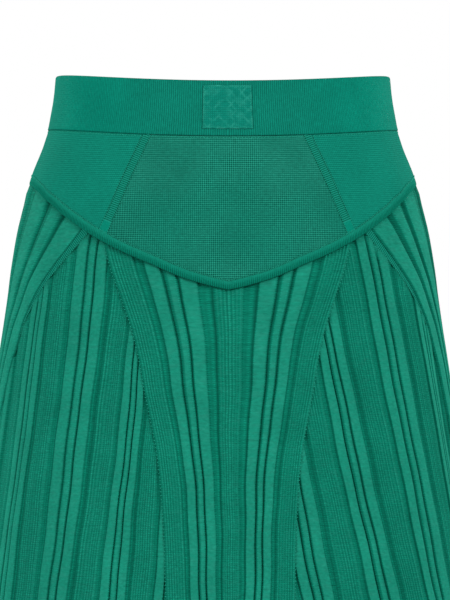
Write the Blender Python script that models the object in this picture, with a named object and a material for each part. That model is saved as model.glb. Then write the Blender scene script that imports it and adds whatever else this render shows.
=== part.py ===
"""A flared mini skirt in green rib knit, worn and hollow, with no wearer in it.

Metres, +Z up. The front faces -Y and the wearer's left side is at +X. The origin is the
middle of the waist opening, level with its rim at the two sides, where the waist holds
the skirt up. A place on the skirt is an angle, in degrees from the front centre towards
+X, and a height z below the waist.

Each cut piece is one closed wall. Its outer points carry the ribs and its inside is
plain, and neighbouring pieces stop SEAM_GAP apart.
"""

import bisect
import math
from collections import namedtuple

import bpy
import numpy as np

MM = 0.001

# Driving dimensions
LENGTH = 430 * MM
SEAM_GAP = 0.3 * MM
BAND_HEIGHT = 39.7 * MM
BAND_THICKNESS = 3.0 * MM
BAND_STEPS = 72
RIM_ROUNDING = 1.2 * MM
FRONT_DIP = 8.1 * MM
BACK_DIP = 2.0 * MM
YOKE_WALL = 2.0 * MM
YOKE_LIFT = -0.6 * MM
YOKE_STRIP_WIDTH = 6.3 * MM
YOKE_FRONT_COLUMNS = 14
YOKE_SIDE_COLUMNS = 26
YOKE_ROWS = 8
STRIP_TOP_ANGLE = 26.0
STRIP_FOOT_ANGLE = 35.7
ROLL_WIDTH = 6.3 * MM
ROLL_BULGE = 1.6 * MM
ROLL_DEPTH = 2.6 * MM
ROLL_SHOULDER = 0.9 * MM
ROLL_SINK = 1.2 * MM
ROLL_STEP = 5.0
RIB_HEIGHT = 1.6 * MM
BAND_DROP = 0.3 * MM
PANEL_WALL = 1.5 * MM
GODET_TUCK = 1.3 * MM
GODET_FOLD = 8.0 * MM
GODET_FOLD_TOP = -110 * MM
PANEL_FOLD = 2.5 * MM
EDGE_STRIP_WIDTH = 9.2 * MM
EDGE_STRIP_FOOT_WIDTH = 0.8 * MM
EDGE_STRIP_FOOT = -190 * MM
EDGE_STRIP_ANGLE = 44.0
EDGE_STRIP_FADE = 36 * MM
EDGE_STRIP_SET_BACK = 0.2 * MM
PATCH_WIDTH = 34.5 * MM
PATCH_HEIGHT = 31 * MM
PATCH_BELOW_RIM = 3.5 * MM
PATCH_THICKNESS = 1.0 * MM
PATCH_CELLS = (8, 6)
HEM = -LENGTH

# The worn form: how far the cloth's outside is from the middle, to the side and to the
# front, at each depth below the waist. Millimetres.
BodyRow = namedtuple("BodyRow", "depth half_width half_depth")
BODY = (
    BodyRow(0, 122.5, 90),
    BodyRow(27, 126, 93),
    BodyRow(49, 131.5, 97),
    BodyRow(75, 141.5, 103),
    BodyRow(93, 146, 107),
    BodyRow(133, 154.5, 113),
    BodyRow(163, 158.5, 117),
    BodyRow(199, 163.6, 123),
    BodyRow(270, 174, 136),
    BodyRow(350, 186, 150.5),
    BodyRow(430, 198, 165),
)

# The rolled seam between yoke and skirt: a V at the front and back, high at the sides.
RollRow = namedtuple("RollRow", "angle depth")
ROLL = (
    RollRow(0, 153.5),
    RollRow(6, 149.5),
    RollRow(20, 135.5),
    RollRow(35.5, 118.8),
    RollRow(52, 99.4),
    RollRow(62, 89.2),
    RollRow(74, 80.2),
    RollRow(82, 77),
    RollRow(90, 76),
)

# The two seams of a godet, as angles from the middle of the front or the back: the
# inner one against the front or back panel, the outer one against the side panel.
SeamRow = namedtuple("SeamRow", "depth inner outer")
SEAMS = (
    SeamRow(100, 38.5, 39.5),
    SeamRow(122, 35.2, 46.5),
    SeamRow(139, 32.5, 53.0),
    SeamRow(167, 27.7, 62.5),
    SeamRow(197, 23.4, 68.7),
    SeamRow(226, 20.8, 71.7),
    SeamRow(252, 18.4, 73.2),
    SeamRow(278, 16.5, 74.0),
    SeamRow(306, 15.3, 74.4),
    SeamRow(360, 13.9, 74.8),
    SeamRow(430, 12.8, 75.2),
)

# Heights of the rows of points down the skirt. Millimetres below the waist.
ROW_DEPTHS = (66, 84, 104, 124, 146, 170, 197, 226, 260, 300, 345, 390, 430)
ROWS = tuple(-depth * MM for depth in reversed(ROW_DEPTHS))
ROW_SNAP = 5 * MM
ROW_WAVE = 0.1 * MM
WAVES_ROUND = 7
SEARCH_STEP = 1 * MM
TOP_POINT_ROOM = 1.0
INSIDE_STEP = 8.0

# One repeat of the rib pattern in a godet, from the middle of one wale band to the
# middle of the next, as shares of the repeat.
Rib = namedtuple("Rib", "kind start end")
REPEAT = (
    Rib("band", 0.0, 0.17),
    Rib("plain", 0.25, 0.405),
    Rib("narrow", 0.455, 0.51),
    Rib("plain", 0.56, 0.73),
    Rib("band", 0.83, 1.0),
)

# Angles of a godet's wale bands at the seam's foot level and at the hem.
BandRow = namedtuple("BandRow", "high low")
BAND_HIGH = -195 * MM
BAND_LOW = -360 * MM
STEADY_BANDS = (
    BandRow(6.0, 7.4),
    BandRow(17.8, 19.6),
    BandRow(29.0, 31.9),
    BandRow(49.6, 48.1),
    BandRow(66.0, 64.3),
    BandRow(82.0, 80.5),
)
LEANING_BANDS = (
    BandRow(3.0, 11.1),
    BandRow(18.5, 26.3),
    BandRow(34.5, 41.5),
    BandRow(56.3, 60.6),
    BandRow(73.0, 76.5),
    BandRow(88.0, 91.0),
)

# Half of a panel's rib pattern, from its middle to its seam, in millimetres at the top
# of the panel and at the hem. A middle band whose half is wider than WIDE_BAND bends
# along one more line, down its middle.
Width = namedtuple("Width", "kind top hem")
FRONT_WIDTHS = (
    Width("band", 9.2, 5.5),
    Width("valley", 8.8, 3.2),
    Width("plain", 10.6, 5.6),
    Width("valley", 3.2, 1.4),
    Width("narrow", 3.9, 2.8),
    Width("valley", 2.7, 1.4),
    Width("plain", 8.8, 5.8),
    Width("valley", 5.6, 3.0),
    Width("band", 15.6, 15.6),
)
SIDE_WIDTHS = (
    Width("band", 20, 9),
    Width("valley", 11, 3.5),
    Width("plain", 20, 9),
    Width("valley", 7, 2.5),
    Width("narrow", 9, 4),
    Width("valley", 7, 2.5),
    Width("plain", 20, 13),
)
PANEL_TOP = -160 * MM
WIDE_BAND = 12

# How far in from its foot each kind of rib reaches its full height, as a share of its
# width, and how far that is below a plain rib's top.
Shoulder = namedtuple("Shoulder", "share drop")
SHOULDERS = {
    "plain": Shoulder(0.14, 0.0),
    "narrow": Shoulder(0.25, 0.0),
    "band": Shoulder(0.12, BAND_DROP),
}

Quarter = namedtuple("Quarter", "name side back bands")
QUARTERS = (
    Quarter("front_left", -1, False, STEADY_BANDS),
    Quarter("front_right", 1, False, LEANING_BANDS),
    Quarter("back_left", -1, True, LEANING_BANDS),
    Quarter("back_right", 1, True, STEADY_BANDS),
)

# Display colours, as seen, from 0 to 255.
BAND_GREEN = (7, 133, 111)
YOKE_GREEN = (22, 126, 106)
RIB_GREEN = (28, 145, 118)
GODET_GREEN = (24, 132, 109)
ROLL_GREEN = (12, 130, 107)
PATCH_GREEN = (20, 132, 114)
KNIT_ROUGHNESS = 0.85
CREASE_DEGREES = 35.0


def smooth_value(x, xs, ys):
    """A smooth curve through the points (xs, ys), read at x."""
    place = min(max(bisect.bisect_right(xs, x) - 1, 0), len(xs) - 2)
    slopes = np.gradient(ys, xs)
    span = xs[place + 1] - xs[place]
    t = min(max((x - xs[place]) / span, 0.0), 1.0)
    start = ys[place] + t * span * slopes[place]
    end = ys[place + 1] - (1 - t) * span * slopes[place + 1]
    blend = t * t * (3 - 2 * t)
    return float((1 - blend) * start + blend * end)


def from_table(table, key, column):
    """A function of a table's key, through the numbers in one of its columns."""
    xs = [getattr(row, key) for row in table]
    ys = [getattr(row, column) for row in table]
    return lambda x: smooth_value(x, xs, ys)


half_width_at = from_table(BODY, "depth", "half_width")
half_depth_at = from_table(BODY, "depth", "half_depth")
roll_depth_at = from_table(ROLL, "angle", "depth")
inner_seam_at = from_table(SEAMS, "depth", "inner")
outer_seam_at = from_table(SEAMS, "depth", "outer")


def skirt_point(angle, z, lift):
    """The point at an angle and height, lifted outwards from the worn form.

    Knit is never quite level, so each level rises and falls by ROW_WAVE round the skirt.
    """
    half_width = half_width_at(-z / MM) * MM
    half_depth = half_depth_at(-z / MM) * MM
    turn = math.radians(angle)
    side = math.sin(turn)
    front = math.cos(turn)
    normal = (side / half_width, -front / half_depth)
    size = math.hypot(*normal)
    x = half_width * side + lift * normal[0] / size
    y = -half_depth * front + lift * normal[1] / size
    return (x, y, z + ROW_WAVE * math.sin(WAVES_ROUND * turn))


def degrees_for(length, angle, z):
    """The angle that a length round the skirt takes up there."""
    turn = math.radians(angle)
    along_x = half_width_at(-z / MM) * MM * math.cos(turn)
    along_y = half_depth_at(-z / MM) * MM * math.sin(turn)
    return math.degrees(length / math.hypot(along_x, along_y))


def from_centre(angle):
    """The angle from the nearest of the front and back centres, 0 to 90."""
    folded = abs((angle + 180) % 360 - 180)
    return min(folded, 180 - folded)


def rim_height(angle):
    """Height of the waist's rim, which dips at the front and a little at the back."""
    facing = math.cos(math.radians(angle))
    dip = FRONT_DIP if facing > 0 else BACK_DIP
    return -dip * facing * facing


def band_foot(angle):
    """Height of the seam under the waistband."""
    return rim_height(angle) - BAND_HEIGHT


ROLL_ANGLES = [ROLL_STEP * i for i in range(round(90 / ROLL_STEP) + 1)]
ROLL_HEIGHTS = [-roll_depth_at(angle) * MM for angle in ROLL_ANGLES]


def roll_height(angle):
    """Height of the rolled seam's middle line."""
    return float(np.interp(from_centre(angle), ROLL_ANGLES, ROLL_HEIGHTS))


def roll_steepness(angle):
    """How much taller than wide the sloping roll is, measured straight down."""
    near = max(angle - ROLL_STEP, 0.0)
    far = min(angle + ROLL_STEP, 90.0)
    run = (far - near) / degrees_for(1.0, angle, roll_height(angle))
    return math.hypot(1.0, (roll_height(far) - roll_height(near)) / run)


ROLL_STEEPNESS = [roll_steepness(angle) for angle in ROLL_ANGLES]


def roll_edge(angle, side, gap=0.0):
    """Height of the rolled seam's upper (side 1) or lower (side -1) edge, plus a gap."""
    steep = float(np.interp(from_centre(angle), ROLL_ANGLES, ROLL_STEEPNESS))
    return roll_height(angle) + side * (ROLL_WIDTH / 2 + gap) * steep


def on_rows(function):
    """The same function of z, made straight between the rows of points."""
    values = [function(-z / MM) for z in ROWS]
    return lambda z: float(np.interp(z, ROWS, values))


inner_seam = on_rows(inner_seam_at)
outer_seam = on_rows(outer_seam_at)


class Solid:
    """Gathers the points and faces of one closed piece, then makes its object."""

    def __init__(self, name, material, place):
        self.name = name
        self.material = material
        self.place = place
        self.points = []
        self.faces = []
        self.known = {}

    def point(self, layer, angle, z, lift):
        """The number of the point at a local angle and height, made once in a layer."""
        key = (layer, round(angle, 5), round(z, 7))
        if key not in self.known:
            self.known[key] = len(self.points)
            self.points.append(skirt_point(self.place(angle), z, lift))
        return self.known[key]

    def between(self, first, second, flip=False):
        """Triangles between two chains of (key, point), each in rising order of key."""
        i = j = 0
        while i < len(first) - 1 or j < len(second) - 1:
            first_next = j == len(second) - 1 or (
                i < len(first) - 1 and first[i + 1][0] <= second[j + 1][0]
            )
            if first_next:
                corner = first[i + 1][1]
            else:
                corner = second[j + 1][1]
            face = (first[i][1], second[j][1], corner)
            if len(set(face)) == 3:
                self.faces.append(face[::-1] if flip else face)
            if first_next:
                i += 1
            else:
                j += 1

    def make(self):
        """The finished object, with its faces pointing out."""
        mesh = bpy.data.meshes.new(self.name)
        mesh.from_pydata(self.points, [], self.faces)
        corners = np.array([[self.points[i] for i in face] for face in self.faces])
        crossed = np.cross(corners[:, 1], corners[:, 2])
        if np.einsum("ij,ij->i", corners[:, 0], crossed).sum() < 0:
            mesh.flip_normals()
        mesh.materials.append(self.material)
        mesh.shade_smooth()
        mesh.set_sharp_from_angle(angle=math.radians(CREASE_DEGREES))
        obj = bpy.data.objects.new(self.name, mesh)
        bpy.context.scene.collection.objects.link(obj)
        return obj


def knit(name, colour):
    """A soft, dull knit in one display colour."""
    material = bpy.data.materials.new(name)
    material.use_nodes = True
    shader = material.node_tree.nodes["Principled BSDF"]
    linear = [((c / 255 + 0.055) / 1.055) ** 2.4 for c in colour]
    shader.inputs["Base Color"].default_value = (*linear, 1.0)
    shader.inputs["Roughness"].default_value = KNIT_ROUGHNESS
    shader.inputs["Metallic"].default_value = 0.0
    material.diffuse_color = (*linear, 1.0)
    return material


# ---- Flared pieces: panels, godets and the strips at the godets' edges ----


class Region:
    """The outline of a flared piece: two side lines, the roll above and a foot."""

    def __init__(self, left, right, place, foot=HEM):
        self.left = left
        self.right = right
        self.place = place
        self.foot = foot
        self.left_top = self.meets_roll(left)
        self.right_top = self.meets_roll(right)

    def top(self, angle):
        """Height of the piece's upper edge, just under the roll."""
        return roll_edge(self.place(angle), -1, SEAM_GAP)

    def meets_roll(self, side):
        """Height at which a side line reaches the roll."""
        low = self.foot
        high = ROWS[-1]
        for _ in range(40):
            middle = (low + high) / 2
            if middle < self.top(side(middle)):
                low = middle
            else:
                high = middle
        return low

    def start(self, line):
        """Where a line going up from the foot leaves the piece, or None."""
        z = self.foot
        if not self.left(z) < line(z) < self.right(z):
            return None
        while z < ROWS[-1]:
            higher = z + SEARCH_STEP
            angle = line(higher)
            if angle <= self.left(higher) or angle >= self.right(higher):
                on_left = angle <= self.left(higher)
                side = self.left if on_left else self.right
                corner = self.left_top if on_left else self.right_top
                near = min(ROWS, key=lambda row: abs(row - z))
                if z > corner - ROW_SNAP:
                    z = corner
                elif abs(near - z) < ROW_SNAP and near < corner - ROW_SNAP:
                    z = near
                return (side(z), z) if z > self.foot + ROW_SNAP else None
            if higher >= self.top(angle):
                return (line(z), self.top(line(z)))
            z = higher
        return None

    def key(self, angle, z):
        """How far a point of the outline is along it, from the left foot, clockwise."""
        height = self.left_top - self.foot
        if abs(angle - self.left(z)) < 1e-6 and z <= self.left_top + 1e-9:
            return z - self.foot
        if abs(angle - self.right(z)) < 1e-6 and z <= self.right_top + 1e-9:
            return height + 1 + self.right_top - z
        left = self.left(self.left_top)
        right = self.right(self.right_top)
        return height + (angle - left) / (right - left)


def flared_layer(solid, layer, region, lines, lift):
    """Covers a region with strips between its lines; returns its outline as a chain."""
    edge = {}

    def add_edge(angle, z):
        number = solid.point(layer, angle, z, lift(angle, z))
        edge[number] = (region.key(angle, z), angle, z)

    for z in ROWS:
        if z >= region.foot - 1e-9:
            if z < region.left_top - ROW_SNAP:
                add_edge(region.left(z), z)
            if z < region.right_top - ROW_SNAP:
                add_edge(region.right(z), z)
    add_edge(region.left(region.foot), region.foot)
    add_edge(region.right(region.foot), region.foot)
    left = region.left(region.left_top)
    right = region.right(region.right_top)
    add_edge(left, region.left_top)
    add_edge(right, region.right_top)
    columns = []
    for line in lines:
        start = region.start(line)
        if start:
            columns.append((line, start))
            add_edge(*start)
    taken = [angle for _, (angle, z) in columns if abs(z - region.top(angle)) < 1e-6]
    taken += [left, right]
    for angle in np.arange(ROLL_STEP * math.ceil(left / ROLL_STEP), right, ROLL_STEP):
        if min(abs(angle - other) for other in taken) > TOP_POINT_ROOM:
            add_edge(float(angle), region.top(float(angle)))
    outline = sorted((key, number, z) for number, (key, _, z) in edge.items())
    starts = [edge[solid.point(layer, *start, 0)][0] for _, start in columns]
    chains = []
    for line, (_, top) in columns:
        heights = [z for z in ROWS if region.foot - 1e-9 <= z < top - ROW_SNAP]
        if not heights or heights[0] > region.foot + 1e-9:
            heights.insert(0, region.foot)
        chains.append(
            [(z, solid.point(layer, line(z), z, lift(line(z), z))) for z in heights]
        )
    bounds = [outline[0][0] - 1, *starts, outline[-1][0] + 1]
    for i in range(len(bounds) - 1):
        part = [o for o in outline if bounds[i] - 1e-9 <= o[0] <= bounds[i + 1] + 1e-9]
        peak = max(range(len(part)), key=lambda k: part[k][2])
        up = [(z, number) for _, number, z in part[: peak + 1]]
        down = [(z, number) for _, number, z in reversed(part[peak:])]
        first = (chains[i - 1] if i > 0 else []) + up
        second = (chains[i] if i < len(chains) else []) + down
        solid.between(first, second, flip=layer == "inside")
    far = outline[-1][0] + 1
    foot = [chain[0][1] for chain in reversed(chains)]
    ring = [(key, number) for key, number, _ in outline]
    foot_left, foot_right = region.left(region.foot), region.right(region.foot)
    for line, number in zip([line for line, _ in reversed(columns)], foot):
        share = (foot_right - line(region.foot)) / (foot_right - foot_left)
        ring.append((far + share, number))
    ring.append((far + 1, outline[0][1]))
    return ring


def flared_wall(name, material, region, lines, heights, fold, thickness):
    """A closed wall over a region: ribs along the lines outside, plain inside."""

    def lift(angle, z):
        angles = [line(z) for line in lines]
        relief = float(np.interp(angle, angles, heights)) if lines else 0.0
        return fold(angle, z) + relief

    def under(angle, z):
        return fold(angle, z) - thickness

    def plain(share):
        return lambda z: (1 - share) * region.left(z) + share * region.right(z)

    solid = Solid(name, material, region.place)
    outside = flared_layer(solid, "outside", region, lines, lift)
    span = region.right(region.foot) - region.left(region.foot)
    count = max(1, round(span / INSIDE_STEP))
    shares = [i / count for i in range(1, count)] if lines else []
    inside = flared_layer(solid, "inside", region, [plain(s) for s in shares], under)
    solid.between(outside, inside, flip=True)
    return solid.make()


def rib_lines(kind, start, end):
    """The four lines of one rib, each as (place between start and end, height)."""
    shoulder = SHOULDERS[kind]
    shares = (0.0, shoulder.share, 1 - shoulder.share, 1.0)
    heights = (-RIB_HEIGHT, -shoulder.drop, -shoulder.drop, -RIB_HEIGHT)
    return [(start + share * (end - start), h) for share, h in zip(shares, heights)]


def panel_lines(widths, seam):
    """Lines and heights of a panel, from its left seam to its right seam."""
    tops = np.cumsum([0.0, *(width.top for width in widths)])
    hems = np.cumsum([0.0, *(width.hem for width in widths)])
    half = []
    for i, width in enumerate(widths):
        if width.kind == "valley":
            continue
        kind_lines = rib_lines(width.kind, 0.0, 1.0)
        if i == 0:
            kind_lines = kind_lines[2:]
        if i == len(widths) - 1:
            kind_lines = kind_lines[:2]
        for share, height in kind_lines:
            top = (tops[i] + share * width.top) / tops[-1]
            hem = (hems[i] + share * width.hem) / hems[-1]
            half.append((top, hem, height))

    def line(top, hem, side):
        def angle(z):
            t = min(max((PANEL_TOP - z) / (PANEL_TOP - HEM), 0.0), 1.0)
            return side * seam(z) * ((1 - t) * top + t * hem)

        return angle

    lines = [line(top, hem, -1) for top, hem, _ in reversed(half)]
    heights = [height for _, _, height in reversed(half)]
    if widths[0].top > WIDE_BAND:
        lines.append(line(0.0, 0.0, 1))
        heights.append(-BAND_DROP)
    lines += [line(top, hem, 1) for top, hem, _ in half]
    heights += [height for _, _, height in half]
    return lines, heights


def gap_angle(angle, z):
    """Half of a seam's gap, as an angle."""
    return degrees_for(SEAM_GAP / 2, angle, z)


def panel(name, material, widths, seam, centre):
    """A flared panel between two seams that are mirror images about its centre."""

    def place(angle):
        return centre + angle

    def right(z):
        return seam(z) - gap_angle(centre + seam(z), z)

    def left(z):
        return -right(z)

    def fold(angle, z):
        across = angle / seam(z)
        down = (z - PANEL_TOP) / (HEM - PANEL_TOP)
        return PANEL_FOLD * max(down, 0.0) * (1 - across * across)

    region = Region(left, right, place)
    lines, heights = panel_lines(widths, seam)
    thickness = RIB_HEIGHT + PANEL_WALL
    return flared_wall(name, material, region, lines, heights, fold, thickness)


def edge_strip_width(z):
    """Width of the cross-ribbed strip at a godet's outer seam; none below its foot."""
    top = roll_height(EDGE_STRIP_ANGLE)
    reach = (z - EDGE_STRIP_FOOT) / (top - EDGE_STRIP_FOOT)
    return EDGE_STRIP_FOOT_WIDTH + (EDGE_STRIP_WIDTH - EDGE_STRIP_FOOT_WIDTH) * reach


def quarter_place(quarter):
    """Turns an angle from the front or back centre into one round the skirt."""
    if quarter.back:
        return lambda angle: quarter.side * (180 - angle)
    return lambda angle: quarter.side * angle


def godet_edge(z):
    """The godet's outer line, which leaves room for its edge strip."""
    taken = SEAM_GAP / 2
    if z > EDGE_STRIP_FOOT:
        taken += edge_strip_width(z) + SEAM_GAP
    elif z > EDGE_STRIP_FOOT - EDGE_STRIP_FADE:
        left_over = 1 + (z - EDGE_STRIP_FOOT) / EDGE_STRIP_FADE
        taken += (EDGE_STRIP_FOOT_WIDTH + SEAM_GAP) * left_over
    return outer_seam(z) - degrees_for(taken, outer_seam(z), z)


def godet_fold(angle, z):
    """The godet's own wave: tucked at its seams and full in the middle."""
    left, right = inner_seam(z), outer_seam(z)
    across = min(max((angle - left) / (right - left), 0.0), 1.0)
    down = min(max((z - GODET_FOLD_TOP) / (HEM - GODET_FOLD_TOP), 0.0), 1.0)
    return -GODET_TUCK + GODET_FOLD * down * math.sin(math.pi * across) ** 2


def godet_lines(bands):
    """Lines and heights of a godet's ribs, which hang almost straight down."""
    rows = []
    for one, following in zip(bands, bands[1:]):
        for rib in REPEAT:
            kind_lines = rib_lines(rib.kind, rib.start, rib.end)
            if rib.kind == "band":
                kind_lines = kind_lines[2:] if rib.start == 0.0 else kind_lines[:2]
            for share, height in kind_lines:
                high = (1 - share) * one.high + share * following.high
                low = (1 - share) * one.low + share * following.low
                rows.append((high, low, height))

    def line(high, low):
        return lambda z: low + (high - low) * (z - BAND_LOW) / (BAND_HIGH - BAND_LOW)

    return [line(high, low) for high, low, _ in rows], [row[2] for row in rows]


def godet(quarter, material):
    """A flared insert whose ribs run into its two seams."""

    def left(z):
        return inner_seam(z) + gap_angle(inner_seam(z), z)

    region = Region(left, on_rows(lambda d: godet_edge(-d * MM)), quarter_place(quarter))
    lines, heights = godet_lines(quarter.bands)
    name = f"godet_{quarter.name}"
    thickness = RIB_HEIGHT + PANEL_WALL
    return flared_wall(name, material, region, lines, heights, godet_fold, thickness)


def godet_strip(quarter, material):
    """The narrow cross-ribbed strip that borders a godet under the side panel."""

    def left(z):
        return godet_edge(z) + degrees_for(SEAM_GAP, outer_seam(z), z)

    def right(z):
        return outer_seam(z) - gap_angle(outer_seam(z), z)

    def fold(angle, z):
        return godet_fold(angle, z) - EDGE_STRIP_SET_BACK

    place = quarter_place(quarter)
    region = Region(left, right, place, EDGE_STRIP_FOOT)
    name = f"godet_strip_{quarter.name}"
    return flared_wall(name, material, region, [], [], fold, RIB_HEIGHT + PANEL_WALL)


# ---- Yoke pieces and the patch: plain walls on a grid ----


def grid_wall(name, material, top, foot, counts, lifts):
    """A closed wall between a top line and a foot line, each a function of a share.

    top and foot give (angle, z) at a share across, counts is (columns, rows) of cells
    and lifts is (outside, inside).
    """
    solid = Solid(name, material, lambda angle: angle)
    columns, rows = counts
    numbers = {}
    for layer, lift in enumerate(lifts):
        for i in range(columns + 1):
            upper = np.array(top(i / columns))
            lower = np.array(foot(i / columns))
            for j in range(rows + 1):
                angle, z = upper + (lower - upper) * (j / rows)
                numbers[layer, i, j] = solid.point(layer, float(angle), float(z), lift)
    for i in range(columns):
        for j in range(rows):
            cell = [(i, j + 1), (i + 1, j + 1), (i + 1, j), (i, j)]
            solid.faces.append([numbers[(0, *corner)] for corner in cell])
            solid.faces.append([numbers[(1, *corner)] for corner in reversed(cell)])
    around = [(i, 0) for i in range(columns)]
    around += [(columns, j) for j in range(rows)]
    around += [(i, rows) for i in range(columns, 0, -1)]
    around += [(0, j) for j in range(rows, 0, -1)]
    for one, following in zip(around, around[1:] + around[:1]):
        edge = [(0, *one), (0, *following), (1, *following), (1, *one)]
        solid.faces.append([numbers[corner] for corner in edge])
    return solid.make()


def yoke_piece(name, material, centre, top_span, foot_span, columns):
    """A piece of the yoke between two lines, each from the band down to the roll."""

    def top(share):
        angle = centre + top_span[0] + share * (top_span[1] - top_span[0])
        return angle, band_foot(angle) - SEAM_GAP

    def foot(share):
        angle = centre + foot_span[0] + share * (foot_span[1] - foot_span[0])
        return angle, roll_edge(angle, 1, SEAM_GAP)

    lifts = (YOKE_LIFT, YOKE_LIFT - YOKE_WALL)
    return grid_wall(name, material, top, foot, (columns, YOKE_ROWS), lifts)


def strip_side(centre_angle, height, side, gap):
    """The angle of one edge of a yoke strip at the band or the roll."""
    across = YOKE_STRIP_WIDTH / 2 + gap
    return centre_angle + side * degrees_for(across, centre_angle, height)


def yoke(material):
    """The yoke: front, back and two sides, and the four strips that part them."""
    band = band_foot(STRIP_TOP_ANGLE)
    roll = roll_height(STRIP_FOOT_ANGLE)
    inner = (
        strip_side(STRIP_TOP_ANGLE, band, -1, SEAM_GAP),
        strip_side(STRIP_FOOT_ANGLE, roll, -1, SEAM_GAP),
    )
    outer = (
        strip_side(STRIP_TOP_ANGLE, band, 1, SEAM_GAP),
        strip_side(STRIP_FOOT_ANGLE, roll, 1, SEAM_GAP),
    )
    near = (
        strip_side(STRIP_TOP_ANGLE, band, -1, 0),
        strip_side(STRIP_FOOT_ANGLE, roll, -1, 0),
    )
    far = (
        strip_side(STRIP_TOP_ANGLE, band, 1, 0),
        strip_side(STRIP_FOOT_ANGLE, roll, 1, 0),
    )
    for name, centre in (("yoke_front", 0), ("yoke_back", 180)):
        spans = ((-inner[0], inner[0]), (-inner[1], inner[1]))
        yoke_piece(name, material, centre, *spans, YOKE_FRONT_COLUMNS)
    for name, centre in (("yoke_side_left", -90), ("yoke_side_right", 90)):
        spans = ((outer[0] - 90, 90 - outer[0]), (outer[1] - 90, 90 - outer[1]))
        yoke_piece(name, material, centre, *spans, YOKE_SIDE_COLUMNS)
    for quarter in QUARTERS:
        centre = 180 if quarter.back else 0
        side = -quarter.side if quarter.back else quarter.side
        spans = ((side * near[0], side * far[0]), (side * near[1], side * far[1]))
        yoke_piece(f"yoke_strip_{quarter.name}", material, centre, *spans, 1)


def patch(material):
    """The bare square patch on the front of the waistband."""
    half = degrees_for(PATCH_WIDTH / 2, 0, -BAND_HEIGHT / 2)

    def top(share):
        angle = half * (2 * share - 1)
        return angle, rim_height(angle) - PATCH_BELOW_RIM

    def foot(share):
        angle, height = top(share)
        return angle, height - PATCH_HEIGHT

    lifts = (SEAM_GAP + PATCH_THICKNESS, SEAM_GAP)
    return grid_wall("waist_patch", material, top, foot, PATCH_CELLS, lifts)


# ---- Rings: the waistband and the rolled seam ----


def ring(name, material, section, steps, height_at, sink=0.0):
    """A closed ring that carries a section of (share, lift) right round the skirt.

    It lies lower by up to sink towards the sides.
    """
    solid = Solid(name, material, lambda angle: angle)
    for i in range(steps):
        angle = 360 * i / steps
        lower = sink * math.sin(math.radians(angle)) ** 4
        for share, lift in section:
            height = height_at(angle, share)
            solid.points.append(skirt_point(angle, height, lift - lower))
    count = len(section)
    for i in range(steps):
        following = (i + 1) % steps
        for j in range(count):
            k = (j + 1) % count
            corners = (i * count + j, following * count + j)
            corners += (following * count + k, i * count + k)
            solid.faces.append(corners)
    return solid.make()


def waistband(material):
    """The thick knitted band, folded over at its rim."""
    inside = -BAND_THICKNESS
    rim = RIM_ROUNDING / BAND_HEIGHT
    bend = 0.35 * RIM_ROUNDING
    section = [(1.0, inside), (1.0, 0.0), (0.5, 0.0), (rim, 0.0)]
    section += [(0.2 * rim, -bend), (0.0, inside / 2), (0.2 * rim, inside + bend)]
    section += [(rim, inside), (0.5, inside)]

    def height_at(angle, share):
        return rim_height(angle) - share * BAND_HEIGHT

    return ring("waistband", material, section, BAND_STEPS, height_at)


def seam_roll(material):
    """The raised roll that covers the seam between yoke and skirt."""
    section = [(-1, -ROLL_DEPTH), (-1, -ROLL_SHOULDER), (-0.78, 0.55 * ROLL_BULGE)]
    section += [(-0.3, ROLL_BULGE), (0.3, ROLL_BULGE), (0.78, 0.55 * ROLL_BULGE)]
    section += [(1, -ROLL_SHOULDER), (1, -ROLL_DEPTH)]

    def height_at(angle, share):
        edge = roll_edge(angle, 1)
        middle = roll_height(angle)
        return middle + share * (edge - middle)

    steps = round(360 / ROLL_STEP)
    return ring("seam_roll", material, section, steps, height_at, ROLL_SINK)


def main():
    for old in list(bpy.data.objects):
        bpy.data.objects.remove(old)
    waistband(knit("band_knit", BAND_GREEN))
    patch(knit("patch_knit", PATCH_GREEN))
    yoke(knit("yoke_knit", YOKE_GREEN))
    seam_roll(knit("roll_knit", ROLL_GREEN))
    ribbed = knit("rib_knit", RIB_GREEN)
    panel("panel_front", ribbed, FRONT_WIDTHS, inner_seam, 0)
    panel("panel_back", ribbed, FRONT_WIDTHS, inner_seam, 180)

    def side_seam(z):
        return 90 - outer_seam(z)

    panel("panel_side_left", ribbed, SIDE_WIDTHS, side_seam, -90)
    panel("panel_side_right", ribbed, SIDE_WIDTHS, side_seam, 90)
    insert = knit("godet_knit", GODET_GREEN)
    for quarter in QUARTERS:
        godet(quarter, insert)
        godet_strip(quarter, insert)


main()
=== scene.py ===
import math
from collections import namedtuple

import bpy
import numpy as np
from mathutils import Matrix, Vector


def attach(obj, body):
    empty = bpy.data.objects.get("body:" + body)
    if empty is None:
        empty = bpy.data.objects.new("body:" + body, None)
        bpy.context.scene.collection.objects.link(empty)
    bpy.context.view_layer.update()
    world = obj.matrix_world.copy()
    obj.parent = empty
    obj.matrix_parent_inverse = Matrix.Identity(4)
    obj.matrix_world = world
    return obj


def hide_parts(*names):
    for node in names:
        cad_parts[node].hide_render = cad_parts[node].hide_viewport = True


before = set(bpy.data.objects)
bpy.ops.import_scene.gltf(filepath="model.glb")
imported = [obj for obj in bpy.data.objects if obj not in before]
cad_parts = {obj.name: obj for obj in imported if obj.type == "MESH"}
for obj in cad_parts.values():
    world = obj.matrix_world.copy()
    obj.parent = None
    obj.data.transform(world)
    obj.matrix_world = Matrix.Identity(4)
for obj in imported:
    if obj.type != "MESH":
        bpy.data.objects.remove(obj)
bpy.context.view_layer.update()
MM = 0.001


# ---- Waistband -----------------------------------------------------------------------
# One dense 1x1 rib band, 40 mm tall and 3 mm thick, knitted in the round and folded at
# its rim. The rim dips at the front. The worn form that every piece follows starts here.

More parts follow.
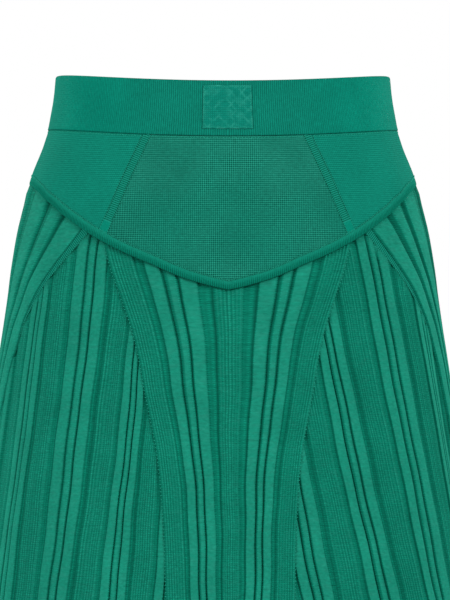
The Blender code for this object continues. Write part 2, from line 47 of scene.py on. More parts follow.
FormRow = namedtuple("FormRow", "depth half_width half_depth")
WORN_FORM = (
    FormRow(0, 122.5, 90),
    FormRow(27, 126, 93),
    FormRow(49, 131.5, 97),
    FormRow(75, 141.5, 103),
    FormRow(93, 146, 107),
    FormRow(133, 154.5, 113),
    FormRow(163, 158.5, 117),
    FormRow(199, 163.6, 123),
    FormRow(270, 174, 136),
    FormRow(350, 186, 150.5),
    FormRow(430, 198, 165),
)
BAND_HEIGHT = 39.7 * MM
BAND_THICKNESS = 3.0 * MM
FRONT_DIP = 8.1 * MM
BACK_DIP = 2.0 * MM


def read_smoothly(table, key, column):
    """A smooth curve through one column of a table, as a function of its key."""
    xs = np.array([getattr(row, key) for row in table], float)
    ys = np.array([getattr(row, column) for row in table], float)
    slopes = np.gradient(ys, xs)

    def curve(x):
        x = np.asarray(x, float)
        place = np.clip(np.searchsorted(xs, x, "right") - 1, 0, len(xs) - 2)
        span = xs[place + 1] - xs[place]
        t = np.clip((x - xs[place]) / span, 0, 1)
        start = ys[place] + t * span * slopes[place]
        end = ys[place + 1] - (1 - t) * span * slopes[place + 1]
        blend = t * t * (3 - 2 * t)
        return (1 - blend) * start + blend * end

    return curve


half_width_at = read_smoothly(WORN_FORM, "depth", "half_width")
half_depth_at = read_smoothly(WORN_FORM, "depth", "half_depth")


# Soft creases in the worn cloth: where the middle of each lies, in degrees from the
# front and millimetres below the waist, how far it drifts round for each millimetre
# down, its half-length and half-width, and how deep it sinks (below 0 it stands up).
Crease = namedtuple("Crease", "angle depth lean length width sink")
CREASES = (
    Crease(-78, 62, 0.5, 26, 9, 0.5),
    Crease(-58, 88, -0.9, 20, 7, 0.4),
    Crease(71, 58, -0.4, 24, 10, 0.6),
    Crease(55, 84, 0.8, 22, 8, 0.4),
    Crease(4, 96, 0.1, 34, 26, -0.7),
    Crease(-17, 82, -0.3, 26, 12, 0.4),
    Crease(-66, 262, 0.08, 90, 9, 2.2),
    Crease(-52, 330, -0.10, 80, 13, -1.6),
    Crease(-31, 352, -0.16, 70, 9, 1.3),
    Crease(-86, 240, 0.02, 95, 8, 1.8),
    Crease(9, 300, 0.04, 60, 11, 0.8),
    Crease(34, 318, 0.16, 85, 12, -1.4),
    Crease(49, 352, 0.12, 70, 9, 1.8),
    Crease(70, 268, 0.05, 90, 10, 2.0),
    Crease(88, 300, -0.03, 80, 9, 1.5),
    Crease(112, 75, 0.3, 26, 10, 0.5),
    Crease(118, 290, 0.05, 85, 11, 2.1),
    Crease(136, 335, 0.12, 75, 10, -1.5),
    Crease(152, 310, 0.10, 80, 9, 1.4),
    Crease(176, 92, 0.1, 30, 22, -0.6),
    Crease(-171, 330, -0.05, 70, 12, 1.0),
    Crease(-148, 300, -0.08, 90, 10, -1.7),
    Crease(-128, 325, -0.04, 75, 9, 1.9),
    Crease(-108, 255, 0.04, 85, 10, 1.7),
    Crease(-116, 70, -0.4, 24, 9, 0.5),
)
MM_PER_DEGREE = 2.5


def creased(angle, z):
    """How far the creases sink the cloth there, in metres."""
    total = np.zeros(np.broadcast(angle, z).shape)
    for crease in CREASES:
        down = -z / MM - crease.depth
        turned = (angle - crease.angle + 180) % 360 - 180
        over = turned * MM_PER_DEGREE - crease.lean * down
        total = total + crease.sink * np.exp(-((over / crease.width) ** 2) - (down / crease.length) ** 2)
    return total * MM


def on_skirt(angle, z, lift):
    """Points at an angle from the front and a height, lifted off the worn form."""
    angle, z, lift = np.broadcast_arrays(angle, z, lift)
    half_width = half_width_at(-z / MM) * MM
    half_depth = half_depth_at(-z / MM) * MM
    side = np.sin(np.radians(angle))
    front = np.cos(np.radians(angle))
    out = np.stack([side / half_width, -front / half_depth, 0 * z], -1)
    out /= np.linalg.norm(out, axis=-1, keepdims=True)
    start = np.stack([half_width * side, -half_depth * front, z], -1)
    return start + out * (lift - creased(angle, z))[..., None]


def degrees_for(length, angle, z):
    """The angle that a length round the skirt takes up."""
    along_x = half_width_at(-z / MM) * MM * np.cos(np.radians(angle))
    along_y = half_depth_at(-z / MM) * MM * np.sin(np.radians(angle))
    return np.degrees(length / np.hypot(along_x, along_y))


def rim_height(angle):
    facing = np.cos(np.radians(angle))
    return -np.where(facing > 0, FRONT_DIP, BACK_DIP) * facing**2


def sewn_mesh(name, points, faces, knit_map, relief):
    """A closed piece of knit, with its knit map and its relief kept for its material.

    The knit map gives the place in the fabric, across and down, in metres, of each
    point or of each face's corner. The relief is 1 on top of a rib and 0 in a groove;
    most of the materials paint shade where it is low.
    """
    mesh = bpy.data.meshes.new(name)
    faces = [[int(number) for number in face] for face in faces]
    mesh.from_pydata(np.asarray(points).tolist(), [], faces)
    layer = mesh.uv_layers.new(name="knit")
    knit_map = np.asarray(knit_map, np.float32)
    if len(knit_map) == len(points):
        corner_points = np.zeros(len(mesh.loops), np.int32)
        mesh.loops.foreach_get("vertex_index", corner_points)
        knit_map = knit_map[corner_points]
    layer.uv.foreach_set("vector", knit_map.ravel())
    kept = mesh.attributes.new("relief", "FLOAT", "POINT")
    kept.data.foreach_set("value", np.asarray(relief, np.float32))
    first, second, third = (np.asarray(points)[[face[n] for face in faces]] for n in range(3))
    if np.einsum("ij,ij->i", first, np.cross(second, third)).sum() < 0:
        mesh.flip_normals()
    mesh.shade_smooth()
    piece = bpy.data.objects.new(name, mesh)
    bpy.context.scene.collection.objects.link(piece)
    return piece


def ring_of_knit(name, angles, heights, lifts, across, down, relief):
    """A closed ring. The arrays hold a row for each angle, the last at the first one's
    place, and a column for each point of its section, which closes on itself."""
    steps, count = heights.shape[0] - 1, heights.shape[1]
    points = on_skirt(angles[:-1, None], heights[:-1], lifts[:-1]).reshape(-1, 3)
    i, j = np.mgrid[0:steps, 0:count]
    corners = ((i, j), (i + 1, j), (i + 1, (j + 1) % count), (i, (j + 1) % count))
    faces = np.stack([(row % steps) * count + column for row, column in corners], -1)
    knit = np.stack(np.broadcast_arrays(across[:, None], down), -1)
    at_corners = np.stack([knit[row, column] for row, column in corners], 2)
    relief = relief[:-1].ravel()
    return sewn_mesh(name, points, faces.reshape(-1, 4), at_corners.reshape(-1, 2), relief)


def dress(piece, knit, node):
    """Gives a piece its knit and puts it in the place of its solid."""
    piece.data.materials.append(knit)
    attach(piece, "root")
    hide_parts(node)
    return piece


def seen(red, green, blue):
    """A colour as seen on a screen, 0 to 255, as the shader needs it."""
    return tuple(((c / 255 + 0.055) / 1.055) ** 2.4 for c in (red, green, blue)) + (1.0,)


class Finish:
    """A knit's material, with short ways to add the nodes that make its surface."""

    def __init__(self, name, roughness=0.9, gloss=0.015, sheen=0.02):
        self.material = bpy.data.materials.new(name)
        self.material.use_nodes = True
        self.tree = self.material.node_tree
        self.shader = self.tree.nodes["Principled BSDF"]
        self.shader.inputs["Roughness"].default_value = roughness
        self.shader.inputs["Specular IOR Level"].default_value = gloss
        self.shader.inputs["Sheen Weight"].default_value = sheen
        self.shader.inputs["Sheen Roughness"].default_value = 0.5
        self.shader.inputs["Sheen Tint"].default_value = (0.25, 0.9, 0.75, 1)

    def feed(self, socket, value):
        if isinstance(value, bpy.types.NodeSocket):
            self.tree.links.new(value, socket)
        elif value is not None:
            socket.default_value = value

    def math(self, operation, first, second=None, third=None):
        made = self.tree.nodes.new("ShaderNodeMath")
        made.operation = operation
        for socket, value in zip(made.inputs, (first, second, third)):
            self.feed(socket, value)
        return made.outputs[0]

    def knit_place(self):
        """Across and down in the fabric, in metres."""
        source = self.tree.nodes.new("ShaderNodeUVMap")
        source.uv_map = "knit"
        split = self.tree.nodes.new("ShaderNodeSeparateXYZ")
        self.tree.links.new(source.outputs[0], split.inputs[0])
        return split.outputs[0], split.outputs[1]

    def fabric(self, wide, tall):
        """The place in the fabric counted in spots of this width and height."""
        across, down = self.knit_place()
        joined = self.tree.nodes.new("ShaderNodeCombineXYZ")
        self.feed(joined.inputs[0], self.math("MULTIPLY", across, 1 / wide))
        self.feed(joined.inputs[1], self.math("MULTIPLY", down, 1 / tall))
        return joined.outputs[0]

    def place_on_skirt(self):
        """Sideways from the middle of the skirt and up from its waist, in metres."""
        place = self.tree.nodes.new("ShaderNodeTexCoord")
        split = self.tree.nodes.new("ShaderNodeSeparateXYZ")
        self.tree.links.new(place.outputs["Object"], split.inputs[0])
        return split.outputs[0], split.outputs[2]

    def side_share(self, near, far):
        """0 where the piece is nearer than near to its middle line, 1 beyond far."""
        return self.stretch(self.math("ABSOLUTE", self.place_on_skirt()[0]), near, far)

    def relief(self):
        source = self.tree.nodes.new("ShaderNodeAttribute")
        source.attribute_name = "relief"
        return source.outputs["Fac"]

    def ridges(self, along, pitch, start=0.0):
        """A wave from 0 in each furrow to 1 on each ridge, one ridge every pitch."""
        turned = self.math("MULTIPLY_ADD", along, 2 * math.pi / pitch, start)
        return self.math("MULTIPLY_ADD", self.math("SINE", turned), 0.5, 0.5)

    def noise(self, scale, detail=2.0, vector=None):
        """Soft spots from 0 to 1, around 0.5; scale is how many there are in a metre."""
        made = self.tree.nodes.new("ShaderNodeTexNoise")
        made.inputs["Scale"].default_value = scale
        made.inputs["Detail"].default_value = detail
        if vector is None:
            vector = self.tree.nodes.new("ShaderNodeTexCoord").outputs["Object"]
        self.feed(made.inputs["Vector"], vector)
        return made.outputs["Fac"]

    def sway(self, value, share):
        """A share around 1 that follows a value around 0.5."""
        return self.math("MULTIPLY_ADD", value, 2 * share, 1 - share)

    def flecks(self, wide, tall, share, detail=2.0):
        """Uneven yarn: spots of a size in millimetres that sway around 1 by a share."""
        return self.sway(self.noise(1.0, detail, self.fabric(wide * MM, tall * MM)), share)

    def clouds(self, scale, share):
        """Broad soft light and shade, that many to the metre, by a share around 1."""
        return self.sway(self.noise(scale, 3.0), share)

    def all_of(self, *values):
        made = values[0]
        for value in values[1:]:
            made = self.math("MULTIPLY", made, value)
        return made

    def stretch(self, value, low, high, out_low=0.0, out_high=1.0):
        made = self.tree.nodes.new("ShaderNodeMapRange")
        for socket, setting in zip(made.inputs, (value, low, high, out_low, out_high)):
            self.feed(socket, setting)
        return made.outputs[0]

    def blend(self, share, first, second):
        made = self.tree.nodes.new("ShaderNodeMix")
        made.data_type = "RGBA"
        self.feed(made.inputs[0], share)
        self.feed(made.inputs[6], first)
        self.feed(made.inputs[7], second)
        return made.outputs[2]

    def shade(self, colour, share, tint=(1.0, 1.0, 1.0)):
        """The colour made lighter or darker by a share around 1, and tinted."""
        made = self.tree.nodes.new("ShaderNodeMix")
        made.data_type = "RGBA"
        made.blend_type = "MULTIPLY"
        made.inputs[0].default_value = 1.0
        self.feed(made.inputs[6], colour)
        grey = self.tree.nodes.new("ShaderNodeCombineColor")
        for socket, part in zip(grey.inputs, tint):
            self.feed(socket, share if part == 1.0 else self.math("MULTIPLY", share, part))
        self.tree.links.new(grey.outputs[0], made.inputs[7])
        return made.outputs[2]

    def ramp(self, value, stops):
        """A colour that runs through stops, each a place from 0 to 1 and a colour."""
        made = self.tree.nodes.new("ShaderNodeValToRGB")
        elements = made.color_ramp.elements
        for element, (place, colour) in zip(elements, (stops[0], stops[-1])):
            element.position = place
            element.color = colour
        for place, colour in stops[1:-1]:
            elements.new(place).color = colour
        self.feed(made.inputs[0], value)
        return made.outputs[0]

    def emboss(self, height, depth):
        """Raises the surface by height (0 to 1) times depth in metres."""
        made = self.tree.nodes.new("ShaderNodeBump")
        made.inputs["Strength"].default_value = 1.0
        made.inputs["Distance"].default_value = depth
        self.feed(made.inputs["Height"], height)
        self.tree.links.new(made.outputs[0], self.shader.inputs["Normal"])

    def colour(self, value):
        self.feed(self.shader.inputs["Base Color"], value)
        return self.material


def band_finish():
    """Dense 1x1 rib: upright wales that open at the front and close over the hips, with painted light that
    makes the green lighter towards the sides and painted shade along the lower edge.
    """
    finish = Finish("band_knit", roughness=0.8)
    across, down = finish.knit_place()
    to_side = finish.side_share(45 * MM, 105 * MM)
    wale = finish.ridges(across, 1.5 * MM)
    course = finish.ridges(down, 1.45 * MM)
    height = finish.math("MULTIPLY_ADD", wale, 0.7, finish.math("MULTIPLY", course, 0.3))
    finish.emboss(height, 0.2 * MM)
    open_wale = finish.math("MULTIPLY_ADD", finish.math("SUBTRACT", wale, 0.5), 0.55, 1.0)
    closed_wale = finish.sway(height, 0.12)
    opening = finish.math("SUBTRACT", 1.0, to_side)
    wales = finish.math(
        "ADD", finish.math("MULTIPLY", open_wale, opening), finish.math("MULTIPLY", closed_wale, to_side)
    )
    flecks = finish.flecks(1.3, 3.4, 0.30)
    clouds = finish.clouds(36, 0.16)
    # Painted light: the green turns lighter and more saturated towards the sides, where the side lamps fall.
    green = finish.blend(to_side, BAND_MIDDLE, BAND_SIDE_LIT)
    # Painted shade along the band's lower edge, where it meets the yoke.
    seam = finish.stretch(finish.relief(), 0.0, 1.0, 0.35, 1.0)
    return finish.colour(finish.shade(green, finish.all_of(wales, flecks, clouds, seam)))


# The band's green at the middle, and the same green with painted light at the sides.
BAND_MIDDLE = seen(12, 121, 102)
BAND_SIDE_LIT = seen(4, 131, 110)
BAND_STEPS = 240
around = np.linspace(0, 360, BAND_STEPS + 1)
rim_bend = np.radians([0, 30, 60, 90, 120, 150, 180])
half_band = BAND_THICKNESS / 2
bend_depth = half_band * (1 - np.sin(rim_bend))
bend_lift = half_band * (np.cos(rim_bend) - 1)
side_depths = np.array([39.7, 38.9, 36, 28, 20, 12, 5]) * MM
outside_lift = np.array([-0.5, 0, 0, 0, 0, 0, 0]) * MM
band_depths = np.concatenate([side_depths, bend_depth, side_depths[::-1][:-1], [BAND_HEIGHT]])
band_lifts = np.concatenate([outside_lift, bend_lift, [-BAND_THICKNESS] * 7])
band_heights = rim_height(around)[:, None] - band_depths[None, :]
band_relief = np.ones(band_heights.shape)
# The relief is 0 along the band's lower edge, where the band's material paints shade.
band_relief[:, 0] = 0


def length_along(points):
    """How far along its own line each point is."""
    steps = np.linalg.norm(np.diff(points, axis=0), axis=1)
    return np.concatenate([[0], np.cumsum(steps)])


band = ring_of_knit(
    "waistband_knit",
    around,
    band_heights,
    np.broadcast_to(band_lifts, band_heights.shape),
    length_along(on_skirt(around, -0.02, 0)),
    np.broadcast_to(band_depths, band_heights.shape),
    band_relief,
)
dress(band, band_finish(), "waistband")


# ---- Waist patch ---------------------------------------------------------------------
# A patch of tonal knit, 34.5 by 31 mm and 1 mm thick, stitched flat on the front of the
# band. It is bare but for a plain lattice of diamonds and a narrow border.

PATCH_WIDTH = 34.5 * MM
PATCH_HEIGHT = 31 * MM
PATCH_BELOW_RIM = 3.5 * MM
PATCH_THICKNESS = 1.0 * MM
PATCH_OFF_BAND = 0.3 * MM


def wall_between(name, angles, heights, outside, inside, relief=None, knit=None):
    """A closed wall over a grid of angles and heights, with its knit map."""
    rows, columns = heights.shape
    outer = on_skirt(angles, heights, outside)
    inner = on_skirt(angles, heights, inside).reshape(-1, 3)
    total = rows * columns
    number = np.arange(total).reshape(rows, columns)
    cells = np.stack([number[1:, :-1], number[1:, 1:], number[:-1, 1:], number[:-1, :-1]], -1)
    faces = [*cells.reshape(-1, 4), *(cells[:, :, ::-1].reshape(-1, 4) + total)]
    edge = np.array([*number[0, :-1], *number[:-1, -1], *number[-1, :0:-1], *number[:0:-1, 0]])
    ahead = np.roll(edge, -1)
    faces += [*np.stack([edge, ahead, ahead + total, edge + total], -1)]
    if knit is None:
        step = np.linalg.norm(np.diff(outer, axis=1), axis=2)
        across = np.concatenate([np.zeros((rows, 1)), np.cumsum(step, axis=1)], axis=1)
        across -= across[:, columns // 2 : columns // 2 + 1]
        knit = np.stack([across, -heights], -1)
    flags = np.ones(total) if relief is None else relief.ravel()
    points = np.concatenate([outer.reshape(-1, 3), inner])
    knit = knit.reshape(-1, 2)
    return sewn_mesh(name, points, faces, np.concatenate([knit, knit]), np.concatenate([flags, flags]))


def closer_at_ends(count, near):
    """Shares from 0 to 1, evenly but for two more close to each end."""
    even = np.linspace(0, 1, count)
    return np.sort(np.concatenate([even, [near / 3, near, 1 - near, 1 - near / 3]]))


PATCH_GREEN = seen(13, 125, 107)
PATCH_LIGHT = seen(43, 153, 133)


def patch_finish():
    """Tonal knit with a worn lattice of diamonds and a plain border."""
    finish = Finish("patch_knit")
    across, down = finish.knit_place()
    wale = finish.ridges(across, 1.47 * MM)
    course = finish.ridges(down, 1.47 * MM)
    bent = finish.math("MULTIPLY_ADD", finish.noise(70, 3.0), 5 * MM, -2.5 * MM)
    rising = finish.ridges(finish.math("ADD", finish.math("ADD", across, down), bent), 8.4 * MM)
    falling = finish.ridges(finish.math("SUBTRACT", finish.math("ADD", across, bent), down), 8.4 * MM)
    lattice = finish.stretch(finish.math("MAXIMUM", rising, falling), 0.70, 0.98, 0.0, 0.6)
    worn = finish.stretch(finish.noise(180, 3.0), 0.42, 0.66)
    lattice = finish.math("MULTIPLY", lattice, worn)
    border = finish.stretch(finish.relief(), 0.5, 0.15)
    grid = finish.math("MULTIPLY", wale, course)
    height = finish.math("MULTIPLY_ADD", grid, 0.5, finish.math("MULTIPLY", lattice, 0.5))
    finish.emboss(height, 0.3 * MM)
    stitches = finish.math("MULTIPLY_ADD", grid, 0.45, 0.88)
    flecks = finish.flecks(4.0, 1.2, 0.28)
    lit = finish.math("MAXIMUM", lattice, finish.math("MULTIPLY", border, worn))
    spots = finish.stretch(finish.noise(150, 3.0), 0.50, 0.75, 0.0, 0.5)
    green = finish.blend(finish.math("MAXIMUM", lit, spots), PATCH_GREEN, PATCH_LIGHT)
    return finish.colour(finish.shade(green, finish.all_of(stitches, flecks)))


patch_half = float(degrees_for(PATCH_WIDTH / 2, 0, -0.02))
patch_angles = patch_half * (2 * closer_at_ends(25, 0.03) - 1)
patch_downs = closer_at_ends(23, 0.03)
patch_tops = rim_height(patch_angles) - PATCH_BELOW_RIM
patch_heights = patch_tops[None, :] - patch_downs[:, None] * PATCH_HEIGHT
from_edge = np.minimum.outer(
    np.minimum(patch_downs, 1 - patch_downs) * PATCH_HEIGHT,
    (1 - np.abs(patch_angles) / patch_half) * PATCH_WIDTH / 2,
)
patch_rise = PATCH_THICKNESS * np.clip(from_edge / PATCH_THICKNESS, 0.35, 1)
patch = wall_between(
    "waist_patch_knit",
    np.broadcast_to(patch_angles, patch_heights.shape),
    patch_heights,
    PATCH_OFF_BAND + patch_rise,
    PATCH_OFF_BAND,
    relief=np.clip(from_edge / (3 * MM), 0, 1),
)
dress(patch, patch_finish(), "waist_patch")


# ---- Yoke ----------------------------------------------------------------------------
# Front and back trapezoids in a fine bird's-eye knit, smoother pieces over the hips, and
# slanted strips of cross rib, 6.3 mm wide, that part them. Each is 2 mm thick and runs
# from the band down to the rolled seam.

RollRow = namedtuple("RollRow", "angle depth")
ROLLED_SEAM = (
    RollRow(0, 153.5),
    RollRow(6, 149.5),
    RollRow(20, 135.5),
    RollRow(35.5, 118.8),
    RollRow(52, 99.4),
    RollRow(62, 89.2),
    RollRow(74, 80.2),
    RollRow(82, 77),
    RollRow(90, 76),
)
ROLL_WIDTH = 6.3 * MM
SEAM_LAP = 0.2 * MM
SOFT_EDGE = 1.3 * MM
EDGE_DROP = 0.35 * MM
STRIP_GAP = 0.1 * MM
YOKE_LIFT = -0.6 * MM
YOKE_WALL = 2.0 * MM
STRIP_WIDTH = 6.3 * MM
STRIP_TOP_ANGLE = 26.0
STRIP_FOOT_ANGLE = 35.7
roll_depth_at = read_smoothly(ROLLED_SEAM, "angle", "depth")


def roll_height(angle):
    """Height of the rolled seam's middle, a V at the front and the back."""
    folded = np.abs((np.asarray(angle, float) + 180) % 360 - 180)
    return -roll_depth_at(np.minimum(folded, 180 - folded)) * MM


def roll_edge(angle, side, gap=0.0):
    """Height of the rolled seam's upper (1) or lower (-1) edge, gap further off."""
    step = 2.5
    rise = roll_height(angle + step) - roll_height(angle - step)
    run = 2 * step / degrees_for(1.0, angle, roll_height(angle))
    return roll_height(angle) + side * (ROLL_WIDTH / 2 + gap) * np.hypot(1, rise / run)


def yoke_grid(centre, tops, feet, across, down):
    """Angles and heights of a yoke piece between two slanted sides, at shares of its
    width and of its height."""
    down = down[:, None]
    top_angle = centre + tops[0] + across * (tops[1] - tops[0])
    foot_angle = centre + feet[0] + across * (feet[1] - feet[0])
    top_height = rim_height(top_angle) - BAND_HEIGHT + SEAM_LAP
    foot_height = roll_edge(foot_angle, 1, -SEAM_LAP)
    angles = top_angle + (foot_angle - top_angle) * down
    return angles, top_height + (foot_height - top_height) * down


def soft_edges(across, down, wide, tall, drop):
    """How far a wall's face sinks at each point of a grid towards its four edges."""
    near = np.minimum.outer(np.minimum(down, 1 - down) * tall, np.minimum(across, 1 - across) * wide)
    return drop * np.clip(1 - near / SOFT_EDGE, 0, 1) ** 2


YOKE_GREEN = seen(13, 117, 97)
YOKE_DOTS = seen(46, 152, 130)
HIP_GREEN = seen(8, 125, 104)
HIP_LIGHT = seen(24, 137, 117)
# The strips' green in painted shade between the cross ribs and along their edges, and lit on the ribs' tops.
STRIP_SHADED_GREEN = seen(2, 98, 78)
STRIP_LIT_GREEN = seen(28, 146, 124)
STRIP_FOOT_GREEN = seen(8, 133, 111)


def birdseye_finish():
    """A fine grid of light purl dots over darker knit, clearer in some places."""
    finish = Finish("birdseye_knit")
    across, down = finish.knit_place()
    wale = finish.ridges(across, 1.49 * MM)
    course = finish.ridges(down, 1.49 * MM)
    lower = finish.stretch(finish.place_on_skirt()[1], -70 * MM, -115 * MM, 0.0, 0.25)
    open_wale = finish.stretch(finish.math("ADD", finish.noise(17, 2.0), lower), 0.45, 0.66, 0.25, 1.0)
    between = finish.math("MULTIPLY", open_wale, finish.math("SUBTRACT", 1.0, wale))
    wale = finish.math("SUBTRACT", 1.0, between)
    grid = finish.math("MULTIPLY", wale, course)
    finish.emboss(grid, 0.25 * MM)
    clear = finish.stretch(finish.noise(24, 2.0), 0.35, 0.65, 0.55, 1.0)
    dots = finish.math("MULTIPLY", grid, clear)
    flecks = finish.flecks(3.2, 1.2, 0.34)
    clouds = finish.clouds(32, 0.16)
    open_furrow = finish.math("SUBTRACT", finish.math("MAXIMUM", wale, course), 0.80)
    furrows = finish.math("MULTIPLY_ADD", open_furrow, clear, 0.94)
    even = finish.stretch(open_wale, 0.25, 1.0, 0.84, 1.06)
    green = finish.blend(dots, YOKE_GREEN, YOKE_DOTS)
    return finish.colour(finish.shade(green, finish.all_of(furrows, flecks, clouds, even)))


def hip_finish():
    """A smoother knit over the hips with fine level courses, brightest at the side."""
    finish = Finish("hip_knit")
    across, down = finish.knit_place()
    to_side = finish.side_share(70 * MM, 125 * MM)
    course = finish.ridges(down, 1.47 * MM)
    wale = finish.ridges(across, 1.49 * MM)
    height = finish.math("MULTIPLY_ADD", course, 0.7, finish.math("MULTIPLY", wale, 0.3))
    finish.emboss(height, 0.18 * MM)
    depth = finish.math("MULTIPLY_ADD", to_side, -0.26, 0.46)
    lines = finish.math("MULTIPLY_ADD", finish.math("SUBTRACT", height, 0.5), depth, 1.0)
    flecks = finish.flecks(3.6, 1.1, 0.26)
    clouds = finish.clouds(30, 0.14)
    green = finish.blend(finish.math("MULTIPLY", height, 0.6), HIP_GREEN, HIP_LIGHT)
    return finish.colour(finish.shade(green, finish.all_of(lines, flecks, clouds)))


def strip_finish():
    """Fine cross ribs, with painted shade between them and along the strip's edges; the relief is 1 on a rib
    and 0 between, and 2 where it is plain.
    """
    finish = Finish("strip_knit")
    relief = finish.relief()
    ribs = finish.stretch(relief, 0.1, 0.9)
    plain = finish.stretch(relief, 1.2, 1.8)
    flecks = finish.flecks(1.4, 1.4, 0.26)
    # Painted shade where the relief is low, between the ribs and at the strip's edges.
    green = finish.blend(ribs, STRIP_SHADED_GREEN, STRIP_LIT_GREEN)
    green = finish.blend(plain, green, STRIP_FOOT_GREEN)
    finish.emboss(finish.noise(900, 2.0), 0.1 * MM)
    return finish.colour(finish.shade(green, flecks))


def strip_side(side, gap):
    """A strip's edge angles at the band and at the roll."""
    half = STRIP_WIDTH / 2 + gap
    band_foot = rim_height(STRIP_TOP_ANGLE) - BAND_HEIGHT
    roll_top = roll_height(STRIP_FOOT_ANGLE)
    at_top = STRIP_TOP_ANGLE + side * degrees_for(half, STRIP_TOP_ANGLE, band_foot)
    at_foot = STRIP_FOOT_ANGLE + side * degrees_for(half, STRIP_FOOT_ANGLE, roll_top)
    return float(at_top), float(at_foot)


def cross_ribbed(name, angles, heights, lift, thickness, plain_foot=0.0):
    """A narrow strip with raised ribs square to its length, which a smooth piece may
    end at its foot."""
    flat = on_skirt(angles, heights, lift)
    middle = flat.mean(axis=1)
    ahead = np.gradient(middle, axis=0)
    ahead /= np.linalg.norm(ahead, axis=1, keepdims=True)
    off = flat - middle[:, None]
    sideways = np.einsum("rcx,rx->rc", off, ahead)
    along = length_along(middle)[:, None] + sideways
    across = np.linalg.norm(off, axis=2) * np.sign(np.linspace(-1, 1, flat.shape[1]))
    ribs = 0.5 + 0.5 * np.cos(2 * np.pi * along / CROSS_RIB_PITCH)
    shares = np.linspace(0, 1, flat.shape[1])
    # The ribs sink away at the strip's long edges, where the relief falls to 0 and the material paints shade.
    ribs = ribs * np.clip(np.minimum(shares, 1 - shares) * 8, 0, 1)
    is_plain = np.clip((along - along.max() + plain_foot) / (1 * MM), 0, 1) if plain_foot else 0 * ribs
    outside = lift + CROSS_RIB_HEIGHT * (ribs - 1) * (1 - is_plain)
    relief = ribs + (2 - ribs) * is_plain
    knit = np.stack([across, along], -1)
    return wall_between(name, angles, heights, outside, lift - thickness, relief, knit)


CROSS_RIB_PITCH = 1.47 * MM
CROSS_RIB_HEIGHT = 0.35 * MM
PLAIN_FOOT = 9 * MM
inner_top, inner_foot = strip_side(-1, STRIP_GAP)
outer_top, outer_foot = strip_side(1, STRIP_GAP)
near_top, near_foot = strip_side(-1, 0)
far_top, far_foot = strip_side(1, 0)
birdseye = birdseye_finish()
hip_knit = hip_finish()
strip_knit = strip_finish()


def sew_yoke(name, node, finish, centre, tops, feet, shape):
    """A yoke piece whose face rounds down into its seams."""
    wide, tall, columns, rows = shape
    across = closer_at_ends(columns, SOFT_EDGE / wide)
    down = closer_at_ends(rows, SOFT_EDGE / tall)
    angles, heights = yoke_grid(centre, tops, feet, across, down)
    face = YOKE_LIFT - soft_edges(across, down, wide, tall, EDGE_DROP)
    piece = wall_between(name, angles, heights, face, YOKE_LIFT - YOKE_WALL)
    return dress(piece, finish, node)


for corner, centre, turn in (
    ("front_left", 0, -1),
    ("front_right", 0, 1),
    ("back_left", 180, 1),
    ("back_right", 180, -1),
):
    tops, feet = (turn * near_top, turn * far_top), (turn * near_foot, turn * far_foot)
    grid = yoke_grid(centre, tops, feet, np.linspace(0, 1, 10), np.linspace(0, 1, 240))
    made = cross_ribbed(
        f"yoke_strip_{corner}_knit", *grid, YOKE_LIFT + 0.1 * MM, YOKE_WALL, plain_foot=PLAIN_FOOT
    )
    dress(made, strip_knit, f"yoke_strip_{corner}")
for side, centre in (("front", 0), ("back", 180)):
    tops, feet = (-inner_top, inner_top), (-inner_foot, inner_foot)
    made = sew_yoke(
        f"yoke_{side}_knit", f"yoke_{side}", birdseye, centre, tops, feet, (0.15, 0.09, 57, 41)
    )
for side, centre in (("left", -90), ("right", 90)):
    tops, feet = (outer_top - 90, 90 - outer_top), (outer_foot - 90, 90 - outer_foot)
    made = sew_yoke(
        f"yoke_side_{side}_knit", f"yoke_side_{side}", hip_knit, centre, tops, feet, (0.23, 0.04, 97, 31)
    )


# ---- Rolled seam ---------------------------------------------------------------------
# The seam between yoke and skirt is covered by a soft roll, 6.3 mm wide, knitted with
# fine cross ribs. It runs right round, low at the middle and high over the hips.

ROLL_RIB_PITCH = 1.55 * MM
ROLL_RIB_HEIGHT = 0.4 * MM
STEPS_A_RIB = 4
ROLL_SINK = 2.2 * MM
# The roll's green, and the same green with painted light for its upper edge, where the lamps above light it.
ROLL_GREEN = seen(10, 126, 103)
ROLL_LIT_GREEN = seen(20, 138, 115)

coarse_angles = np.linspace(0, 360, 721)
coarse_length = length_along(on_skirt(coarse_angles, roll_height(coarse_angles), 0))
ribs_round = round(coarse_length[-1] / ROLL_RIB_PITCH)
round_roll = np.linspace(0, coarse_length[-1], ribs_round * STEPS_A_RIB + 1)
roll_angles = np.interp(round_roll, coarse_length, coarse_angles)
section_across = np.array([-1, -0.97, -0.85, -0.6, -0.25, 0.25, 0.6, 0.85, 0.97, 1, 1.12, -1.12])
section_lift = np.array([-1.2, -0.3, 0.7, 1.35, 1.65, 1.65, 1.35, 0.7, -0.3, -1.2, -2.6, -2.6]) * MM
ribbed = np.array([0, 0.5, 1, 1, 1, 1, 0.9, 0.6, 0.3, 0, 0, 0])
roll_middle = roll_height(roll_angles)
roll_half = roll_edge(roll_angles, 1) - roll_middle
roll_heights = roll_middle[:, None] + section_across * roll_half[:, None]
on_rib = 0.5 + 0.5 * np.cos(2 * np.pi * np.arange(len(round_roll)) / STEPS_A_RIB)
furrow = (1 - on_rib)[:, None] * ribbed
bulge = np.clip(section_lift / MM + 1.2, 0, 2.85) / 2.85
sunk = ROLL_SINK * np.outer(np.sin(np.radians(roll_angles)) ** 4, bulge)
# Painted shade: the relief falls in the furrows between the cross ribs, to 0 along the roll's lower edge over
# the panels and to 0.2 along its upper edge.
roll_relief = 1 - furrow
roll_relief[:, :2] = 0
roll_relief[:, 9] = 0.2
roll = ring_of_knit(
    "seam_roll_knit",
    roll_angles,
    roll_heights,
    section_lift - ROLL_RIB_HEIGHT * furrow - sunk,
    round_roll,
    np.broadcast_to(section_across * ROLL_WIDTH / 2, roll_heights.shape),
    roll_relief,
)


